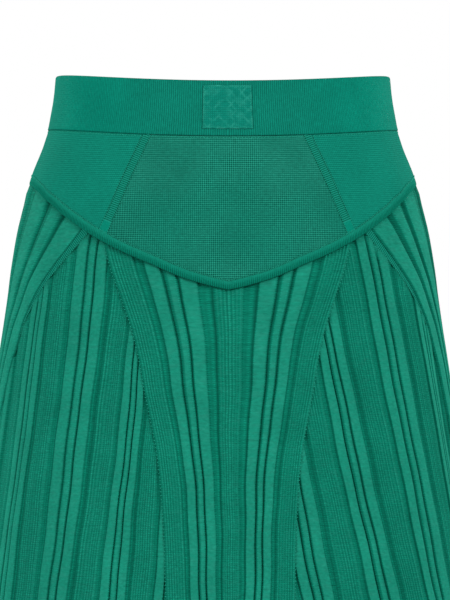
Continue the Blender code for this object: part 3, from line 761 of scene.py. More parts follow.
def roll_finish():
    """Cross ribs with painted shade in their furrows and along the edges, strongest on the lower half, that
    fade into soft knit with painted light along the upper edge.
    """
    finish = Finish("roll_knit")
    across, down = finish.knit_place()
    upper = finish.stretch(down, -0.5 * MM, 2.6 * MM)
    lower = finish.stretch(down, 1.6 * MM, -0.6 * MM)
    # Painted shade from the relief, stronger towards the lower edge.
    ribs = finish.stretch(finish.relief(), 0.0, 1.0, 0.42, 1.12)
    strength = finish.stretch(lower, 0.0, 1.0, 0.35, 1.0)
    ribs = finish.math("MULTIPLY_ADD", finish.math("SUBTRACT", ribs, 0.95), strength, 0.95)
    flecks = finish.flecks(2.2, 1.3, 0.26)
    finish.emboss(finish.noise(800, 2.0), 0.12 * MM)
    # Painted light along the upper edge.
    green = finish.blend(upper, ROLL_GREEN, ROLL_LIT_GREEN)
    return finish.colour(finish.shade(green, finish.all_of(ribs, flecks)))


dress(roll, roll_finish(), "seam_roll")


# ---- Panels --------------------------------------------------------------------------
# Front, back and hip panels of wide and narrow ribs with bands of fine wales between
# them. The ribs draw together downwards. The cloth is 3.1 mm thick on a rib, with
# valleys about 1.5 mm lower, and meets the godets at its side seams.

HEM = -430 * MM
RIB_HEIGHT = 1.6 * MM
PANEL_WALL = 1.5 * MM
PANEL_FOLD = 2.5 * MM
PANEL_TOP = -160 * MM
ROW_STEP = 8 * MM
NEAR_ROW = 2.5 * MM
DRAWN_IN = 0.9 * MM
DRAWN_FROM = 5 * MM
FLARE_TOP = -0.06
HIGHEST_ROW = -0.066
SeamRow = namedtuple("SeamRow", "depth inner outer")
GODET_SEAMS = (
    SeamRow(100, 38.5, 39.5),
    SeamRow(122, 35.2, 46.5),
    SeamRow(139, 32.5, 53.0),
    SeamRow(167, 27.7, 62.5),
    SeamRow(197, 23.4, 68.7),
    SeamRow(226, 20.8, 71.7),
    SeamRow(252, 18.4, 73.2),
    SeamRow(278, 16.5, 74.0),
    SeamRow(306, 15.3, 74.4),
    SeamRow(360, 13.9, 74.8),
    SeamRow(430, 12.8, 75.2),
)
inner_depth_at = read_smoothly(GODET_SEAMS, "depth", "inner")
outer_depth_at = read_smoothly(GODET_SEAMS, "depth", "outer")
rows_down = HEM + ROW_STEP * np.arange(int((HIGHEST_ROW - HEM) / ROW_STEP) + 1)


def inner_seam(z):
    return inner_depth_at(-np.asarray(z) / MM)


def outer_seam(z):
    return outer_depth_at(-np.asarray(z) / MM)


def both_sides(*side):
    """A rib's section from one side: the share across it, and how far its surface is
    below its top in millimetres."""
    return (*side, *((round(1 - share, 3), low) for share, low in reversed(side)))


PLAIN_RIB = both_sides((-0.03, 1.5), (0.01, 0.7), (0.05, 0.22), (0.12, 0.05), (0.3, 0))
NARROW_RIB = both_sides((-0.1, 1.5), (0.0, 0.7), (0.12, 0.25), (0.35, 0.05))
WALES = 7
VALLEY_DEPTH = 1.5
GROOVE_DEPTH = 1.9
# Painted shade: the relief kept for a groove beside a narrow rib and for a wider valley, both painted darker
# than a rib's top, and the share of it kept on walls that look left.
GROOVE_SHADE = 0.10
VALLEY_SHADE = 0.44
LEFT_WALL_SHADE = 0.4


def shade_at_depth(low):
    """The painted shade kept for the material at a depth below a rib's top, in millimetres: 1 on top, darker
    further down.
    """
    return float(np.interp(low, (0, 0.1, 0.3, 0.75, 1.5), (1, 0.97, 0.8, 0.55, 0.3)))


def shaded_walls(depth_shades, lows, turn):
    """Darkens the walls that look left, where less light falls. Turn is -1 when the
    lines run from right to left."""
    falling = np.sign(np.gradient(lows)) * turn
    steep = (lows > 0.15 * MM) & (falling < 0)
    return np.where(steep, depth_shades * LEFT_WALL_SHADE, depth_shades)


def band_section():
    """Fine wales side by side, a little lower than the ribs."""
    section = [(-0.02, 1.5), (0.01, 0.7)]
    width = 0.92 / WALES
    for wale in range(WALES):
        start = 0.04 + width * wale
        section += [(start + 0.3 * width, 0.3), (start + 0.7 * width, 0.3)]
        if wale < WALES - 1:
            section.append((start + width, 0.75))
    return (*section, (0.99, 0.7), (1.02, 1.5))


SECTIONS = {"plain": PLAIN_RIB, "narrow": NARROW_RIB, "band": band_section()}


class CutPiece:
    """A flared piece's outline: a line at each side, the rolled seam above and a foot."""

    def __init__(self, left, right, place, foot=HEM):
        self.left, self.right, self.place, self.foot = left, right, place, foot
        self.left_top = self.meets_roll(left)
        self.right_top = self.meets_roll(right)

    def top(self, angle):
        return roll_edge(self.place(angle), -1, -SEAM_LAP)

    def meets_roll(self, side):
        low, high = self.foot, FLARE_TOP
        for _ in range(40):
            middle = (low + high) / 2
            if middle < self.top(side(middle)):
                low = middle
            else:
                high = middle
        return low

    def key(self, angle, z):
        """How far round the outline a point is, from the left foot, clockwise."""
        height = self.left_top - self.foot
        if abs(angle - self.left(z)) < 1e-6 and z <= self.left_top + 1e-9:
            return z - self.foot
        if abs(angle - self.right(z)) < 1e-6 and z <= self.right_top + 1e-9:
            return height + 1 + self.right_top - z
        left, right = self.left(self.left_top), self.right(self.right_top)
        return height + (angle - left) / (right - left)

    def starts(self, line_angles):
        """For each line, where it leaves the piece going up from the foot, or None."""
        levels = np.linspace(self.foot, FLARE_TOP, 500)
        angles = line_angles(levels)
        past_left = self.left(levels)[:, None] - angles
        past_right = angles - self.right(levels)[:, None]
        past_top = (levels[:, None] - self.top(angles)) / MM
        over = np.stack([past_left, past_right, past_top])
        found = []
        for k in range(angles.shape[1]):
            out = (over[:, :, k] >= 0).any(0)
            if out[0] or not out.any():
                found.append(None)
                continue
            i = int(np.argmax(out))
            which = int(np.argmax([over[n, i, k] >= 0 for n in (0, 1, 2)]))
            before, after = over[which, i - 1, k], over[which, i, k]
            z = levels[i - 1] + (levels[i] - levels[i - 1]) * before / (before - after)
            if which == 2:
                angle = float(np.interp(z, levels, angles[:, k]))
                found.append((angle, float(self.top(angle))))
                continue
            side = self.left if which == 0 else self.right
            corner = self.left_top if which == 0 else self.right_top
            near = rows_down[np.argmin(np.abs(rows_down - z))]
            if z > corner - NEAR_ROW:
                z = corner
            elif abs(near - z) < NEAR_ROW and near < corner - NEAR_ROW:
                z = near
            found.append((float(side(z)), float(z)) if z > self.foot + NEAR_ROW else None)
        return found


def zip_chains(first, second, flip, faces):
    """Triangles between two chains of (key, point), each in rising order of key."""
    i = j = 0
    while i < len(first) - 1 or j < len(second) - 1:
        ahead = j == len(second) - 1 or (i < len(first) - 1 and first[i + 1][0] <= second[j + 1][0])
        corner = first[i + 1][1] if ahead else second[j + 1][1]
        face = (first[i][1], second[j][1], corner)
        if len(set(face)) == 3:
            faces.append(face[::-1] if flip else face)
        i, j = (i + 1, j) if ahead else (i, j + 1)


class KnitWall:
    """Gathers the points of one flared piece, outside and inside, and its faces."""

    def __init__(self, piece, ribs, fold, thickness):
        self.piece = piece
        self.line_angles, self.lows, self.bases, self.depth_shades = ribs
        self.fold, self.thickness = fold, thickness
        self.places, self.faces, self.known = [], [], {}

    def point(self, layer, angle, z, line=None):
        """The number of a point; on a rib's line it takes that line's own height."""
        key = (layer, round(float(angle), 5), round(float(z), 7))
        if key not in self.known:
            if line is None:
                angles = self.line_angles(np.array([z]))[0]
                columns = (self.lows, self.bases, self.depth_shades)
                low, across, depth_shade = (np.interp(angle, angles, column) for column in columns)
            else:
                low, across, depth_shade = self.lows[line], self.bases[line], self.depth_shades[line]
            self.known[key] = len(self.places)
            self.places.append((angle, z, self.thickness if layer else low, across, depth_shade))
        return self.known[key]

    def layer(self, layer, line_angles, numbers):
        """Covers the piece with strips between its lines and returns its outline."""
        piece, edge = self.piece, {}

        def add_edge(angle, z):
            number = self.point(layer, angle, z)
            edge[number] = (piece.key(angle, z), float(z))
            return number

        for z in rows_down:
            if z > piece.foot + 1e-9:
                if z < piece.left_top - NEAR_ROW:
                    add_edge(float(piece.left(z)), z)
                if z < piece.right_top - NEAR_ROW:
                    add_edge(float(piece.right(z)), z)
        left, right = float(piece.left(piece.left_top)), float(piece.right(piece.right_top))
        add_edge(float(piece.left(piece.foot)), piece.foot)
        add_edge(float(piece.right(piece.foot)), piece.foot)
        add_edge(left, piece.left_top)
        add_edge(right, piece.right_top)
        columns = []
        for k, start in enumerate(piece.starts(line_angles)):
            if start:
                columns.append((k, start[1], add_edge(*start)))
        taken = [self.places[number][0] for _, z, number in columns]
        for angle in np.arange(math.ceil(left), right, 1.5):
            if min(abs(angle - other) for other in [left, right, *taken]) > 0.6:
                add_edge(float(angle), float(piece.top(angle)))
        outline = sorted((key, number, z) for number, (key, z) in edge.items())
        every = line_angles(np.append(rows_down, piece.foot))
        chains = []
        for k, top, _ in columns:
            levels = [(piece.foot, every[-1, k])]
            for i, z in enumerate(rows_down):
                if piece.foot + 1e-9 < z < top - NEAR_ROW:
                    levels.append((z, every[i, k]))
            line = numbers[k] if numbers is not None else None
            chains.append([(z, self.point(layer, angle, z, line)) for z, angle in levels])
        starts = [edge[number][0] for _, _, number in columns]
        bounds = [outline[0][0] - 1, *starts, outline[-1][0] + 1]
        for i in range(len(bounds) - 1):
            part = [o for o in outline if bounds[i] - 1e-9 <= o[0] <= bounds[i + 1] + 1e-9]
            peak = max(range(len(part)), key=lambda n: part[n][2])
            up = [(z, number) for _, number, z in part[: peak + 1]]
            down = [(z, number) for _, number, z in reversed(part[peak:])]
            first = (chains[i - 1] if i > 0 else []) + up
            second = (chains[i] if i < len(chains) else []) + down
            zip_chains(first, second, layer == 1, self.faces)
        far = outline[-1][0] + 1
        ring = [(key, number) for key, number, _ in outline]
        foot_left, foot_right = piece.left(piece.foot), piece.right(piece.foot)
        for chain in reversed(chains):
            angle = self.places[chain[0][1]][0]
            ring.append((far + (foot_right - angle) / (foot_right - foot_left), chain[0][1]))
        ring.append((far + 1, outline[0][1]))
        return ring

    def sew(self, name):
        outside = self.layer(0, self.line_angles, range(len(self.lows)))
        piece = self.piece

        def inner_lines(z):
            left, right = piece.left(z)[:, None], piece.right(z)[:, None]
            return left + (right - left) * np.linspace(0, 1, 14)[None, 1:-1]

        inside = self.layer(1, inner_lines, None)
        zip_chains(outside, inside, True, self.faces)
        angle, z, drop, across, depth_shade = np.array(self.places).T
        drop = drop + DRAWN_IN * np.clip(1 - (piece.top(angle) - z) / DRAWN_FROM, 0, 1)
        points = on_skirt(piece.place(angle), z, self.fold(angle, z) - drop)
        return sewn_mesh(name, points, self.faces, np.stack([across, -z], -1), depth_shade)


def wander(z, base):
    """How far a line of knit strays to the side, unevenly, down its length."""
    slow = 0.35 * MM * np.sin(z / (19 * MM) + base / (14 * MM))
    return slow + 0.2 * MM * np.sin(z / (7.3 * MM) - base / (9 * MM) + 1.7)


Width = namedtuple("Width", "kind top hem")
FRONT_WIDTHS = (
    Width("band", 9.2, 5.5),
    Width("valley", 8.8, 3.2),
    Width("plain", 10.6, 5.6),
    Width("valley", 1.8, 1.0),
    Width("narrow", 6.2, 3.6),
    Width("valley", 1.8, 1.0),
    Width("plain", 8.8, 5.8),
    Width("valley", 5.6, 3.0),
    Width("band", 15.6, 15.6),
)
SIDE_WIDTHS = (
    Width("band", 20, 9),
    Width("valley", 11, 3.5),
    Width("plain", 20, 9),
    Width("valley", 4.5, 1.6),
    Width("narrow", 14, 5.8),
    Width("valley", 4.5, 1.6),
    Width("plain", 20, 13),
)


def panel_ribs(widths, seam):
    """The lines of a panel's ribs, and for each how far it lies below a rib's top, its
    place across the fabric and its painted shade."""
    tops = np.cumsum([0.0, *(width.top for width in widths)])
    hems = np.cumsum([0.0, *(width.hem for width in widths)])
    half = []
    for i, width in enumerate(widths):
        if width.kind == "valley":
            beside_narrow = "narrow" in (widths[i - 1].kind, widths[i + 1].kind)
            depth, depth_shade = (GROOVE_DEPTH, GROOVE_SHADE) if beside_narrow else (VALLEY_DEPTH, VALLEY_SHADE)
            section = ((0.3, depth, depth_shade), (0.7, depth, depth_shade)) if not beside_narrow else ((0.5, depth, depth_shade),)
        else:
            section = [(share, low, shade_at_depth(low)) for share, low in SECTIONS[width.kind]]
            if i == 0:
                section = [(2 * share - 1, low, depth_shade) for share, low, depth_shade in section if share > 0.501]
            if i == len(widths) - 1:
                section = [row for row in section if row[0] < 1]
        for share, low, depth_shade in section:
            top = (tops[i] + share * width.top) / tops[-1]
            base = hems[i] + share * width.hem
            half.append((top, base / hems[-1], low * MM, base * MM, depth_shade))
    middle = 0.75 if WALES % 2 == 0 else 0.3
    mirrored = [(-top, -hem, low, -base, depth_shade) for top, hem, low, base, depth_shade in reversed(half)]
    rows = [*mirrored, (0, 0, middle * MM, 0, shade_at_depth(middle)), *half]
    top, hem, lows, bases, depth_shades = (np.array(column) for column in zip(*rows))
    depth_shades = shaded_walls(depth_shades, lows, 1)

    def line_angles(z):
        z = z[:, None]
        t = np.clip((PANEL_TOP - z) / (PANEL_TOP - HEM), 0, 1)
        stray = wander(z, bases) / (MM_PER_DEGREE * MM) * (1 - np.abs(hem) ** 3)
        return seam(z) * ((1 - t) * top + t * hem) + stray

    return line_angles, lows, bases, depth_shades


def rib_finish(name, shade_greens):
    """Ribs over valleys in painted shade; the colour ramp runs from a groove's floor, darkest, to a rib's
    top.
    """
    finish = Finish(name)
    across, down = finish.knit_place()
    depth_shade = finish.relief()
    uneven = finish.math("MULTIPLY_ADD", finish.noise(260, 2.0), 2.4 * MM, down)
    wale = finish.ridges(across, 1.76 * MM)
    course = finish.ridges(uneven, 1.47 * MM)
    in_band = finish.stretch(depth_shade, 0.86, 0.94, 1.0, 0.0)
    ticks = finish.math("MULTIPLY", finish.math("MULTIPLY", wale, course), in_band)
    height = finish.math("MULTIPLY_ADD", course, 0.35, ticks)
    fuzz = finish.noise(1.0, 3.0, finish.fabric(1.6 * MM, 1.2 * MM))
    finish.emboss(finish.math("MULTIPLY_ADD", fuzz, 0.8, height), 0.16 * MM)
    # Painted shade: the relief picks the green from the ramp, darker in the valleys.
    green = finish.ramp(depth_shade, shade_greens)
    grey = finish.stretch(finish.noise(1.0, 2.0, finish.fabric(7 * MM, 3 * MM)), 0.45, 0.75, 0.0, 0.5)
    green = finish.blend(grey, green, finish.shade(green, 1.0, GREYER))
    ticked = finish.math("MULTIPLY_ADD", ticks, 0.50, 0.97)
    lines = finish.math("MULTIPLY_ADD", course, 0.05, 0.975)
    flecks = finish.flecks(2.6, 1.7, 0.36, detail=3.0)
    clouds = finish.clouds(40, 0.20)
    marks = finish.noise(1.0, 1.0, finish.fabric(16 * MM, 2.0 * MM))
    marks = finish.stretch(marks, 0.66, 0.76, 1.0, 0.86)
    light = finish.all_of(ticked, lines, flecks, clouds, marks)
    return finish.colour(finish.shade(green, light))


GREYER = (2.2, 1.06, 1.12)
# Painted shade: the greens from a groove's floor up to a rib's top.
RIB_SHADE_GREENS = (
    (0.0, seen(2, 74, 58)),
    (0.18, seen(5, 97, 78)),
    (0.42, seen(8, 114, 92)),
    (0.55, seen(14, 118, 96)),
    (0.8, seen(21, 128, 106)),
    (1.0, seen(26, 139, 115)),
)
rib_knit = rib_finish("rib_knit", RIB_SHADE_GREENS)


def sew_panel(name, node, widths, seam, centre):
    def place(angle):
        return centre + angle

    def left(z):
        return -seam(z)

    def fold(angle, z):
        down = np.clip((z - PANEL_TOP) / (HEM - PANEL_TOP), 0, None)
        return PANEL_FOLD * down * (1 - (angle / seam(z)) ** 2)

    ribs = panel_ribs(widths, seam)
    made = KnitWall(CutPiece(left, seam, place), ribs, fold, RIB_HEIGHT + PANEL_WALL).sew(name)
    return dress(made, rib_knit, node)


for side, centre in (("front", 0), ("back", 180)):
    made = sew_panel(f"panel_{side}_ribs", f"panel_{side}", FRONT_WIDTHS, inner_seam, centre)


def hip_seam(z):
    return 90 - outer_seam(z)


for side, centre in (("left", -90), ("right", 90)):
    made = sew_panel(f"panel_side_{side}_ribs", f"panel_side_{side}", SIDE_WIDTHS, hip_seam, centre)


# ---- Godets --------------------------------------------------------------------------
# Four flared inserts, in the same ribs, which hang nearly straight and run into the two
# seams. They sit 1.3 mm behind the panels, run under their edges and swing out at the hem.

GODET_TUCK = 1.3 * MM
GODET_FOLD = 8.0 * MM
GODET_FOLD_TOP = -110 * MM
EDGE_STRIP_WIDTH = 9.2 * MM
EDGE_STRIP_FOOT_WIDTH = 0.8 * MM
EDGE_STRIP_FOOT = -190 * MM
EDGE_STRIP_SET_BACK = 0.2 * MM
STRIP_FADE = 8 * MM
UNDER_ROLL = 0.5 * MM
UNDER_PANEL = 0.8 * MM
Rib = namedtuple("Rib", "kind start end")
REPEAT = (
    Rib("band", 0.0, 0.17),
    Rib("plain", 0.25, 0.405),
    Rib("narrow", 0.43, 0.535),
    Rib("plain", 0.56, 0.73),
    Rib("band", 0.83, 1.0),
)
BandRow = namedtuple("BandRow", "high low")
BAND_HIGH = -195 * MM
BAND_LOW = -360 * MM
STEADY_BANDS = (
    BandRow(6.0, 7.4),
    BandRow(17.8, 19.6),
    BandRow(29.0, 31.9),
    BandRow(49.6, 48.1),
    BandRow(66.0, 64.3),
    BandRow(82.0, 80.5),
)
LEANING_BANDS = (
    BandRow(3.0, 11.1),
    BandRow(18.5, 26.3),
    BandRow(34.5, 41.5),
    BandRow(56.3, 60.6),
    BandRow(73.0, 76.5),
    BandRow(88.0, 91.0),
)
ROLL_AT_STRIP = float(roll_height(44))


def strip_width(z):
    reach = (z - EDGE_STRIP_FOOT) / (ROLL_AT_STRIP - EDGE_STRIP_FOOT)
    return EDGE_STRIP_FOOT_WIDTH + (EDGE_STRIP_WIDTH - EDGE_STRIP_FOOT_WIDTH) * reach


def godet_edge(z):
    """The godet's outer line, which leaves room for its edge strip."""
    z = np.asarray(z, float)
    fade = np.clip(1 + (z - EDGE_STRIP_FOOT) / STRIP_FADE, 0, 1)
    below = (EDGE_STRIP_FOOT_WIDTH + UNDER_PANEL) * fade - UNDER_PANEL
    taken = np.where(z > EDGE_STRIP_FOOT, strip_width(z), below)
    return outer_seam(z) - degrees_for(taken, outer_seam(z), z)


def godet_fold(angle, z):
    left, right = inner_seam(z), outer_seam(z)
    across = np.clip((angle - left) / (right - left), 0, 1)
    down = np.clip((z - GODET_FOLD_TOP) / (HEM - GODET_FOLD_TOP), 0, 1)
    return -GODET_TUCK + GODET_FOLD * down * np.sin(np.pi * across) ** 2


def godet_ribs(bands, turn):
    """The lines of a godet's ribs, as panel_ribs gives a panel's."""
    rows = []

    def add_line(one, following, at, low, depth_shade):
        high = one.high + at * (following.high - one.high)
        low_angle = one.low + at * (following.low - one.low)
        rows.append((high, low_angle, low * MM, depth_shade))

    for one, following in zip(bands, bands[1:]):
        for i, rib in enumerate(REPEAT):
            for share, low in SECTIONS[rib.kind]:
                if rib.kind == "band":
                    share = 2 * share - 1 if i == 0 else 2 * share
                    if not 0 <= share <= 1 or (share == 1 and i):
                        continue
                add_line(one, following, rib.start + share * (rib.end - rib.start), low, shade_at_depth(low))
            if i == len(REPEAT) - 1:
                continue
            after = REPEAT[i + 1]
            if "narrow" in (rib.kind, after.kind):
                add_line(one, following, (rib.end + after.start) / 2, GROOVE_DEPTH, GROOVE_SHADE)
            else:
                for share in (0.3, 0.7):
                    at = rib.end + share * (after.start - rib.end)
                    add_line(one, following, at, VALLEY_DEPTH, VALLEY_SHADE)
    high, low_angle, lows, depth_shades = (np.array(column) for column in zip(*rows))
    depth_shades = shaded_walls(depth_shades, lows, turn)
    bases = np.radians(low_angle) * 0.176

    def line_angles(z):
        z = z[:, None]
        share = (z - BAND_LOW) / (BAND_HIGH - BAND_LOW)
        stray = wander(z, bases) / (MM_PER_DEGREE * MM)
        return low_angle + (high - low_angle) * share + stray

    return line_angles, lows, bases, depth_shades


# The same painted shade for the godets, one percent darker.
GODET_SHADE_GREENS = tuple(
    (place, (*(0.99 * part for part in green[:3]), 1.0)) for place, green in RIB_SHADE_GREENS
)
godet_knit = rib_finish("godet_knit", GODET_SHADE_GREENS)
Corner = namedtuple("Corner", "name side back bands")
CORNERS = (
    Corner("front_left", -1, False, STEADY_BANDS),
    Corner("front_right", 1, False, LEANING_BANDS),
    Corner("back_left", -1, True, LEANING_BANDS),
    Corner("back_right", 1, True, STEADY_BANDS),
)


def corner_place(corner):
    if corner.back:
        return lambda angle: corner.side * (180 - angle)
    return lambda angle: corner.side * angle


def godet_inner(z):
    return inner_seam(z) - degrees_for(UNDER_PANEL, inner_seam(z), z)


for corner in CORNERS:
    piece = CutPiece(godet_inner, godet_edge, corner_place(corner))
    turn = -corner.side if corner.back else corner.side
    wall = KnitWall(piece, godet_ribs(corner.bands, turn), godet_fold, RIB_HEIGHT + PANEL_WALL)
    made = wall.sew(f"godet_{corner.name}_ribs")
    dress(made, godet_knit, f"godet_{corner.name}")


# ---- Godet strips --------------------------------------------------------------------
# A strip of cross rib borders each godet's outer seam, under the hip panel's edge. It is
# 9 mm wide at the roll and narrows to its foot, 190 mm below the waist.


def strip_inner(z):
    return godet_edge(z) + degrees_for(STRIP_GAP, outer_seam(z), z)


def strip_outer(z):
    return outer_seam(z) + degrees_for(UNDER_PANEL, outer_seam(z), z)


def strip_line(share):
    """The line down a strip at a share of its width."""

    def line(z):
        return (1 - share) * strip_inner(z) + share * strip_outer(z)

    return line


strip_shares = np.linspace(0, 1, 10)
strip_downs = np.linspace(0, 1, 300)[:, None]
for corner in CORNERS:
    piece = CutPiece(strip_inner, strip_outer, corner_place(corner), EDGE_STRIP_FOOT)
    tops = [piece.meets_roll(strip_line(share)) + UNDER_ROLL for share in strip_shares]
    heights = np.array(tops) * (1 - strip_downs) + EDGE_STRIP_FOOT * strip_downs
    angles = (1 - strip_shares) * strip_inner(heights) + strip_shares * strip_outer(heights)
    made = cross_ribbed(
        f"godet_strip_{corner.name}_knit",
        piece.place(angles),
        heights,
        godet_fold(angles, heights) - EDGE_STRIP_SET_BACK,
        RIB_HEIGHT + PANEL_WALL - EDGE_STRIP_SET_BACK,
    )
    dress(made, strip_knit, f"godet_strip_{corner.name}")


# ---- Stitching -----------------------------------------------------------------------
# Linking and overlock stitches in the same green yarn: a row under the band, zigzags
# down the strips, short ones along the roll and the godet seams, and round the patch.

YARN = 0.5 * MM
STITCH_SIDES = 5


def thread_finish():
    finish = Finish("thread", roughness=0.75)
    finish.emboss(finish.noise(1800, 1.0), 0.05 * MM)
    return finish.colour(finish.shade(seen(38, 156, 132), finish.sway(finish.noise(500, 2.0), 0.4)))


thread = thread_finish()


def lay_stitches(name, lines, pitch, length, turn):
    """Short arched stitches along lines on the cloth, each line an array of angles, of
    heights and of lifts. Turn swings them to one side and the other by turns."""
    points, faces = [], []
    round_yarn = 2 * np.pi * np.arange(STITCH_SIDES) / STITCH_SIDES
    for angles, heights, lifts in lines:
        path = on_skirt(angles, heights, lifts)
        out = on_skirt(angles, heights, lifts + MM) - path
        along = length_along(path)
        stops = np.arange(pitch / 2, along[-1], pitch)
        at = np.stack([np.interp(stops, along, path[:, n]) for n in range(3)], -1)
        up = np.stack([np.interp(stops, along, out[:, n]) for n in range(3)], -1)
        up /= np.linalg.norm(up, axis=1, keepdims=True)
        ahead = np.gradient(at, axis=0)
        ahead -= up * np.einsum("ij,ij->i", ahead, up)[:, None]
        ahead /= np.linalg.norm(ahead, axis=1, keepdims=True)
        swing = np.radians(turn) * np.where(np.arange(len(stops)) % 2, 1, -1)
        swing = swing + 0.25 * np.sin(stops / (3.1 * MM))
        aside = np.cross(up, ahead)
        course = ahead * np.cos(swing)[:, None] + aside * np.sin(swing)[:, None]
        across = np.cross(up, course)
        for place, size, arch in ((-0.5, 0.35, -0.4), (-0.28, 1, 0), (0.28, 1, 0), (0.5, 0.35, -0.4)):
            for turned in round_yarn:
                width = np.cos(turned) * size * YARN / 2
                rise = (np.sin(turned) * size + arch) * YARN / 2
                points.append(at + course * place * length + across * width + up * rise)
        count = len(stops)
        base = sum(len(group) for group in points[: -4 * STITCH_SIDES])
        each = base + np.arange(count)
        for ring in range(3):
            for side in range(STITCH_SIDES):
                one, two = ring * STITCH_SIDES + side, ring * STITCH_SIDES + (side + 1) % STITCH_SIDES
                corners = (one, two, two + STITCH_SIDES, one + STITCH_SIDES)
                faces += np.stack([each + corner * count for corner in corners], -1).tolist()
        ends = (range(STITCH_SIDES)[::-1], range(3 * STITCH_SIDES, 4 * STITCH_SIDES))
        for end in ends:
            faces += np.stack([each + corner * count for corner in end], -1).tolist()
    points = np.concatenate(points)
    made = sewn_mesh(name, points, faces, points[:, [0, 2]], np.ones(len(points)))
    made.data.materials.append(thread)
    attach(made, "root")


full_turn = np.linspace(0, 360, 361)
band_seam = rim_height(full_turn) - BAND_HEIGHT - 1.1 * MM
on_yoke = np.full(361, YOKE_LIFT - 0.1 * MM)
band_line = (full_turn, band_seam, on_yoke + 0.1 * MM)
lay_stitches("band_seam_stitches", [band_line], 2.3 * MM, 1.9 * MM, 35)

roll_top = roll_edge(full_turn, 1, 0.1 * MM)
roll_line = (full_turn, roll_top, on_yoke + 0.2 * MM)
lay_stitches("roll_stitches", [roll_line], 1.25 * MM, 1.9 * MM, 65)

strip_lines = []
for centre, turn in ((0, -1), (0, 1), (180, 1), (180, -1)):
    for tops_at, feet_at in ((near_top, near_foot), (far_top, far_foot)):
        grid = yoke_grid(
            centre, (turn * tops_at, 0), (turn * feet_at, 0), np.zeros(1), np.linspace(0.02, 0.98, 60)
        )
        strip_lines.append((grid[0][:, 0], grid[1][:, 0], np.full(60, YOKE_LIFT + 0.05 * MM)))
lay_stitches("yoke_strip_stitches", strip_lines, 1.7 * MM, 1.4 * MM, 52)

seam_lines, edge_lines = [], []
for corner in CORNERS:
    piece = CutPiece(godet_inner, strip_outer, corner_place(corner))
    heights = np.linspace(HEM + 2 * MM, piece.left_top - 2 * MM, 120)
    angles = piece.place(inner_seam(heights))
    seam_lines.append((angles, heights, np.full(120, -0.45 * MM)))
    edge = CutPiece(godet_inner, strip_inner, corner_place(corner))
    heights = np.linspace(EDGE_STRIP_FOOT, edge.right_top - 1 * MM, 60)
    local = strip_inner(heights) + degrees_for(0.3 * MM, outer_seam(heights), heights)
    edge_lines.append((piece.place(local), heights, godet_fold(local, heights) - 0.1 * MM))
lay_stitches("godet_seam_stitches", seam_lines, 2.6 * MM, 1.3 * MM, 60)
lay_stitches("godet_strip_stitches", edge_lines, 1.8 * MM, 1.4 * MM, 50)

PATCH_STITCH_IN = 1.0 * MM
inner_half = patch_half * (1 - 2 * PATCH_STITCH_IN / PATCH_WIDTH)
corner_turns = np.array([-1, 1, 1, -1, -1]) * inner_half
corner_drops = np.array([0, 0, 1, 1, 0]) * (PATCH_HEIGHT - 2 * PATCH_STITCH_IN) + PATCH_STITCH_IN
round_patch = np.linspace(0, 4, 161)
patch_line = np.interp(round_patch, range(5), corner_turns)
patch_drop = np.interp(round_patch, range(5), corner_drops)
patch_line_heights = rim_height(patch_line) - PATCH_BELOW_RIM - patch_drop
on_patch = np.full(161, 1.15 * MM)
lay_stitches("patch_stitches", [(patch_line, patch_line_heights, on_patch)], 1.9 * MM, 1.2 * MM, 0)


# ---- Studio --------------------------------------------------------------------------
# A pale floor well under the hem, an even white surround and four soft lamps, with the
# camera level with the hips, two and a half metres away and a little to one side.

CAMERA_DISTANCE = 2.5
CAMERA_HEIGHT = -0.1635
CAMERA_TURN = math.radians(-2)
LENS = 204.5
SIDE_STEP = 1.47 * MM
FLOOR_HEIGHT = -0.98
FLOOR_REACH = 2.2
SURROUND_LIGHT = 0.45

floor_corners = [(x * FLOOR_REACH, y * FLOOR_REACH) for x, y in ((-1, -1), (1, -1), (1, 1), (-1, 1))]
floor_mesh = bpy.data.meshes.new("floor")
floor_mesh.from_pydata([(x, y, FLOOR_HEIGHT) for x, y in floor_corners], [], [(0, 1, 2, 3)])
floor = bpy.data.objects.new("floor", floor_mesh)
bpy.context.scene.collection.objects.link(floor)
floor_paint = bpy.data.materials.new("floor_paint")
floor_paint.use_nodes = True
floor_shader = floor_paint.node_tree.nodes["Principled BSDF"]
floor_shader.inputs["Base Color"].default_value = (0.85, 0.85, 0.85, 1)
floor_shader.inputs["Roughness"].default_value = 0.9
floor_mesh.materials.append(floor_paint)

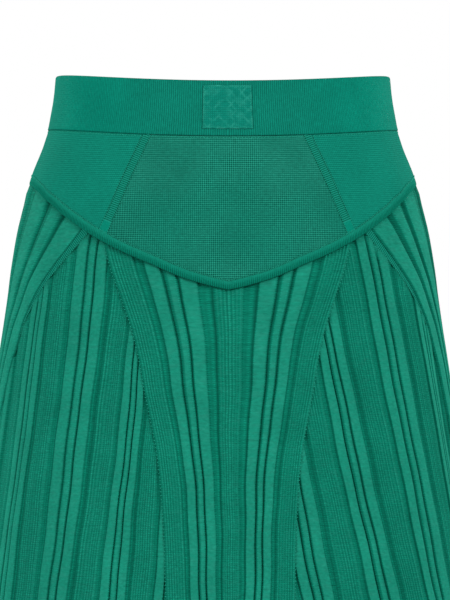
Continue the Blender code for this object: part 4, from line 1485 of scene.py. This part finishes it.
# The surround shows white and lights the cloth more dimly.
surround = bpy.data.worlds.new("surround")
surround.use_nodes = True
tree = surround.node_tree
dim = tree.nodes["Background"]
dim.inputs["Color"].default_value = (1, 1, 1, 1)
dim.inputs["Strength"].default_value = SURROUND_LIGHT
white = tree.nodes.new("ShaderNodeBackground")
white.inputs["Color"].default_value = (1, 1, 1, 1)
white.inputs["Strength"].default_value = 1.0
rays = tree.nodes.new("ShaderNodeLightPath")
either = tree.nodes.new("ShaderNodeMixShader")
tree.links.new(rays.outputs["Is Camera Ray"], either.inputs[0])
tree.links.new(dim.outputs[0], either.inputs[1])
tree.links.new(white.outputs[0], either.inputs[2])
tree.links.new(either.outputs[0], tree.nodes["World Output"].inputs["Surface"])
bpy.context.scene.world = surround
bpy.context.scene.view_settings.view_transform = "Standard"
bpy.context.scene.view_settings.look = "None"

Lamp = namedtuple("Lamp", "name place size watts")
LAMPS = (
    Lamp("front_key", (1.45, -1.55, 0.95), 0.9, 25),
    Lamp("front_fill", (-1.65, -1.35, 0.35), 1.2, 17),
    Lamp("back_key", (-1.45, 1.55, 0.95), 0.9, 25),
    Lamp("back_fill", (1.65, 1.35, 0.35), 1.2, 17),
)
for lamp in LAMPS:
    light = bpy.data.lights.new(lamp.name, "AREA")
    light.shape = "SQUARE"
    light.size = lamp.size
    light.energy = lamp.watts
    holder = bpy.data.objects.new(lamp.name, light)
    holder.location = lamp.place
    holder.rotation_mode = "QUATERNION"
    aim = Vector((0, 0, -0.18)) - Vector(lamp.place)
    holder.rotation_quaternion = aim.to_track_quat("-Z", "Y")
    bpy.context.scene.collection.objects.link(holder)

camera = bpy.data.cameras.new("camera")
camera.lens = LENS
camera.sensor_width = 36
viewer = bpy.data.objects.new("camera", camera)
side_x, side_y = math.cos(CAMERA_TURN), math.sin(CAMERA_TURN)
viewer.location = (
    CAMERA_DISTANCE * math.sin(CAMERA_TURN) + SIDE_STEP * side_x,
    -CAMERA_DISTANCE * math.cos(CAMERA_TURN) + SIDE_STEP * side_y,
    CAMERA_HEIGHT,
)
viewer.rotation_euler = (math.pi / 2, 0, CAMERA_TURN)
camera.clip_end = 50
bpy.context.scene.collection.objects.link(viewer)
bpy.context.scene.camera = viewer
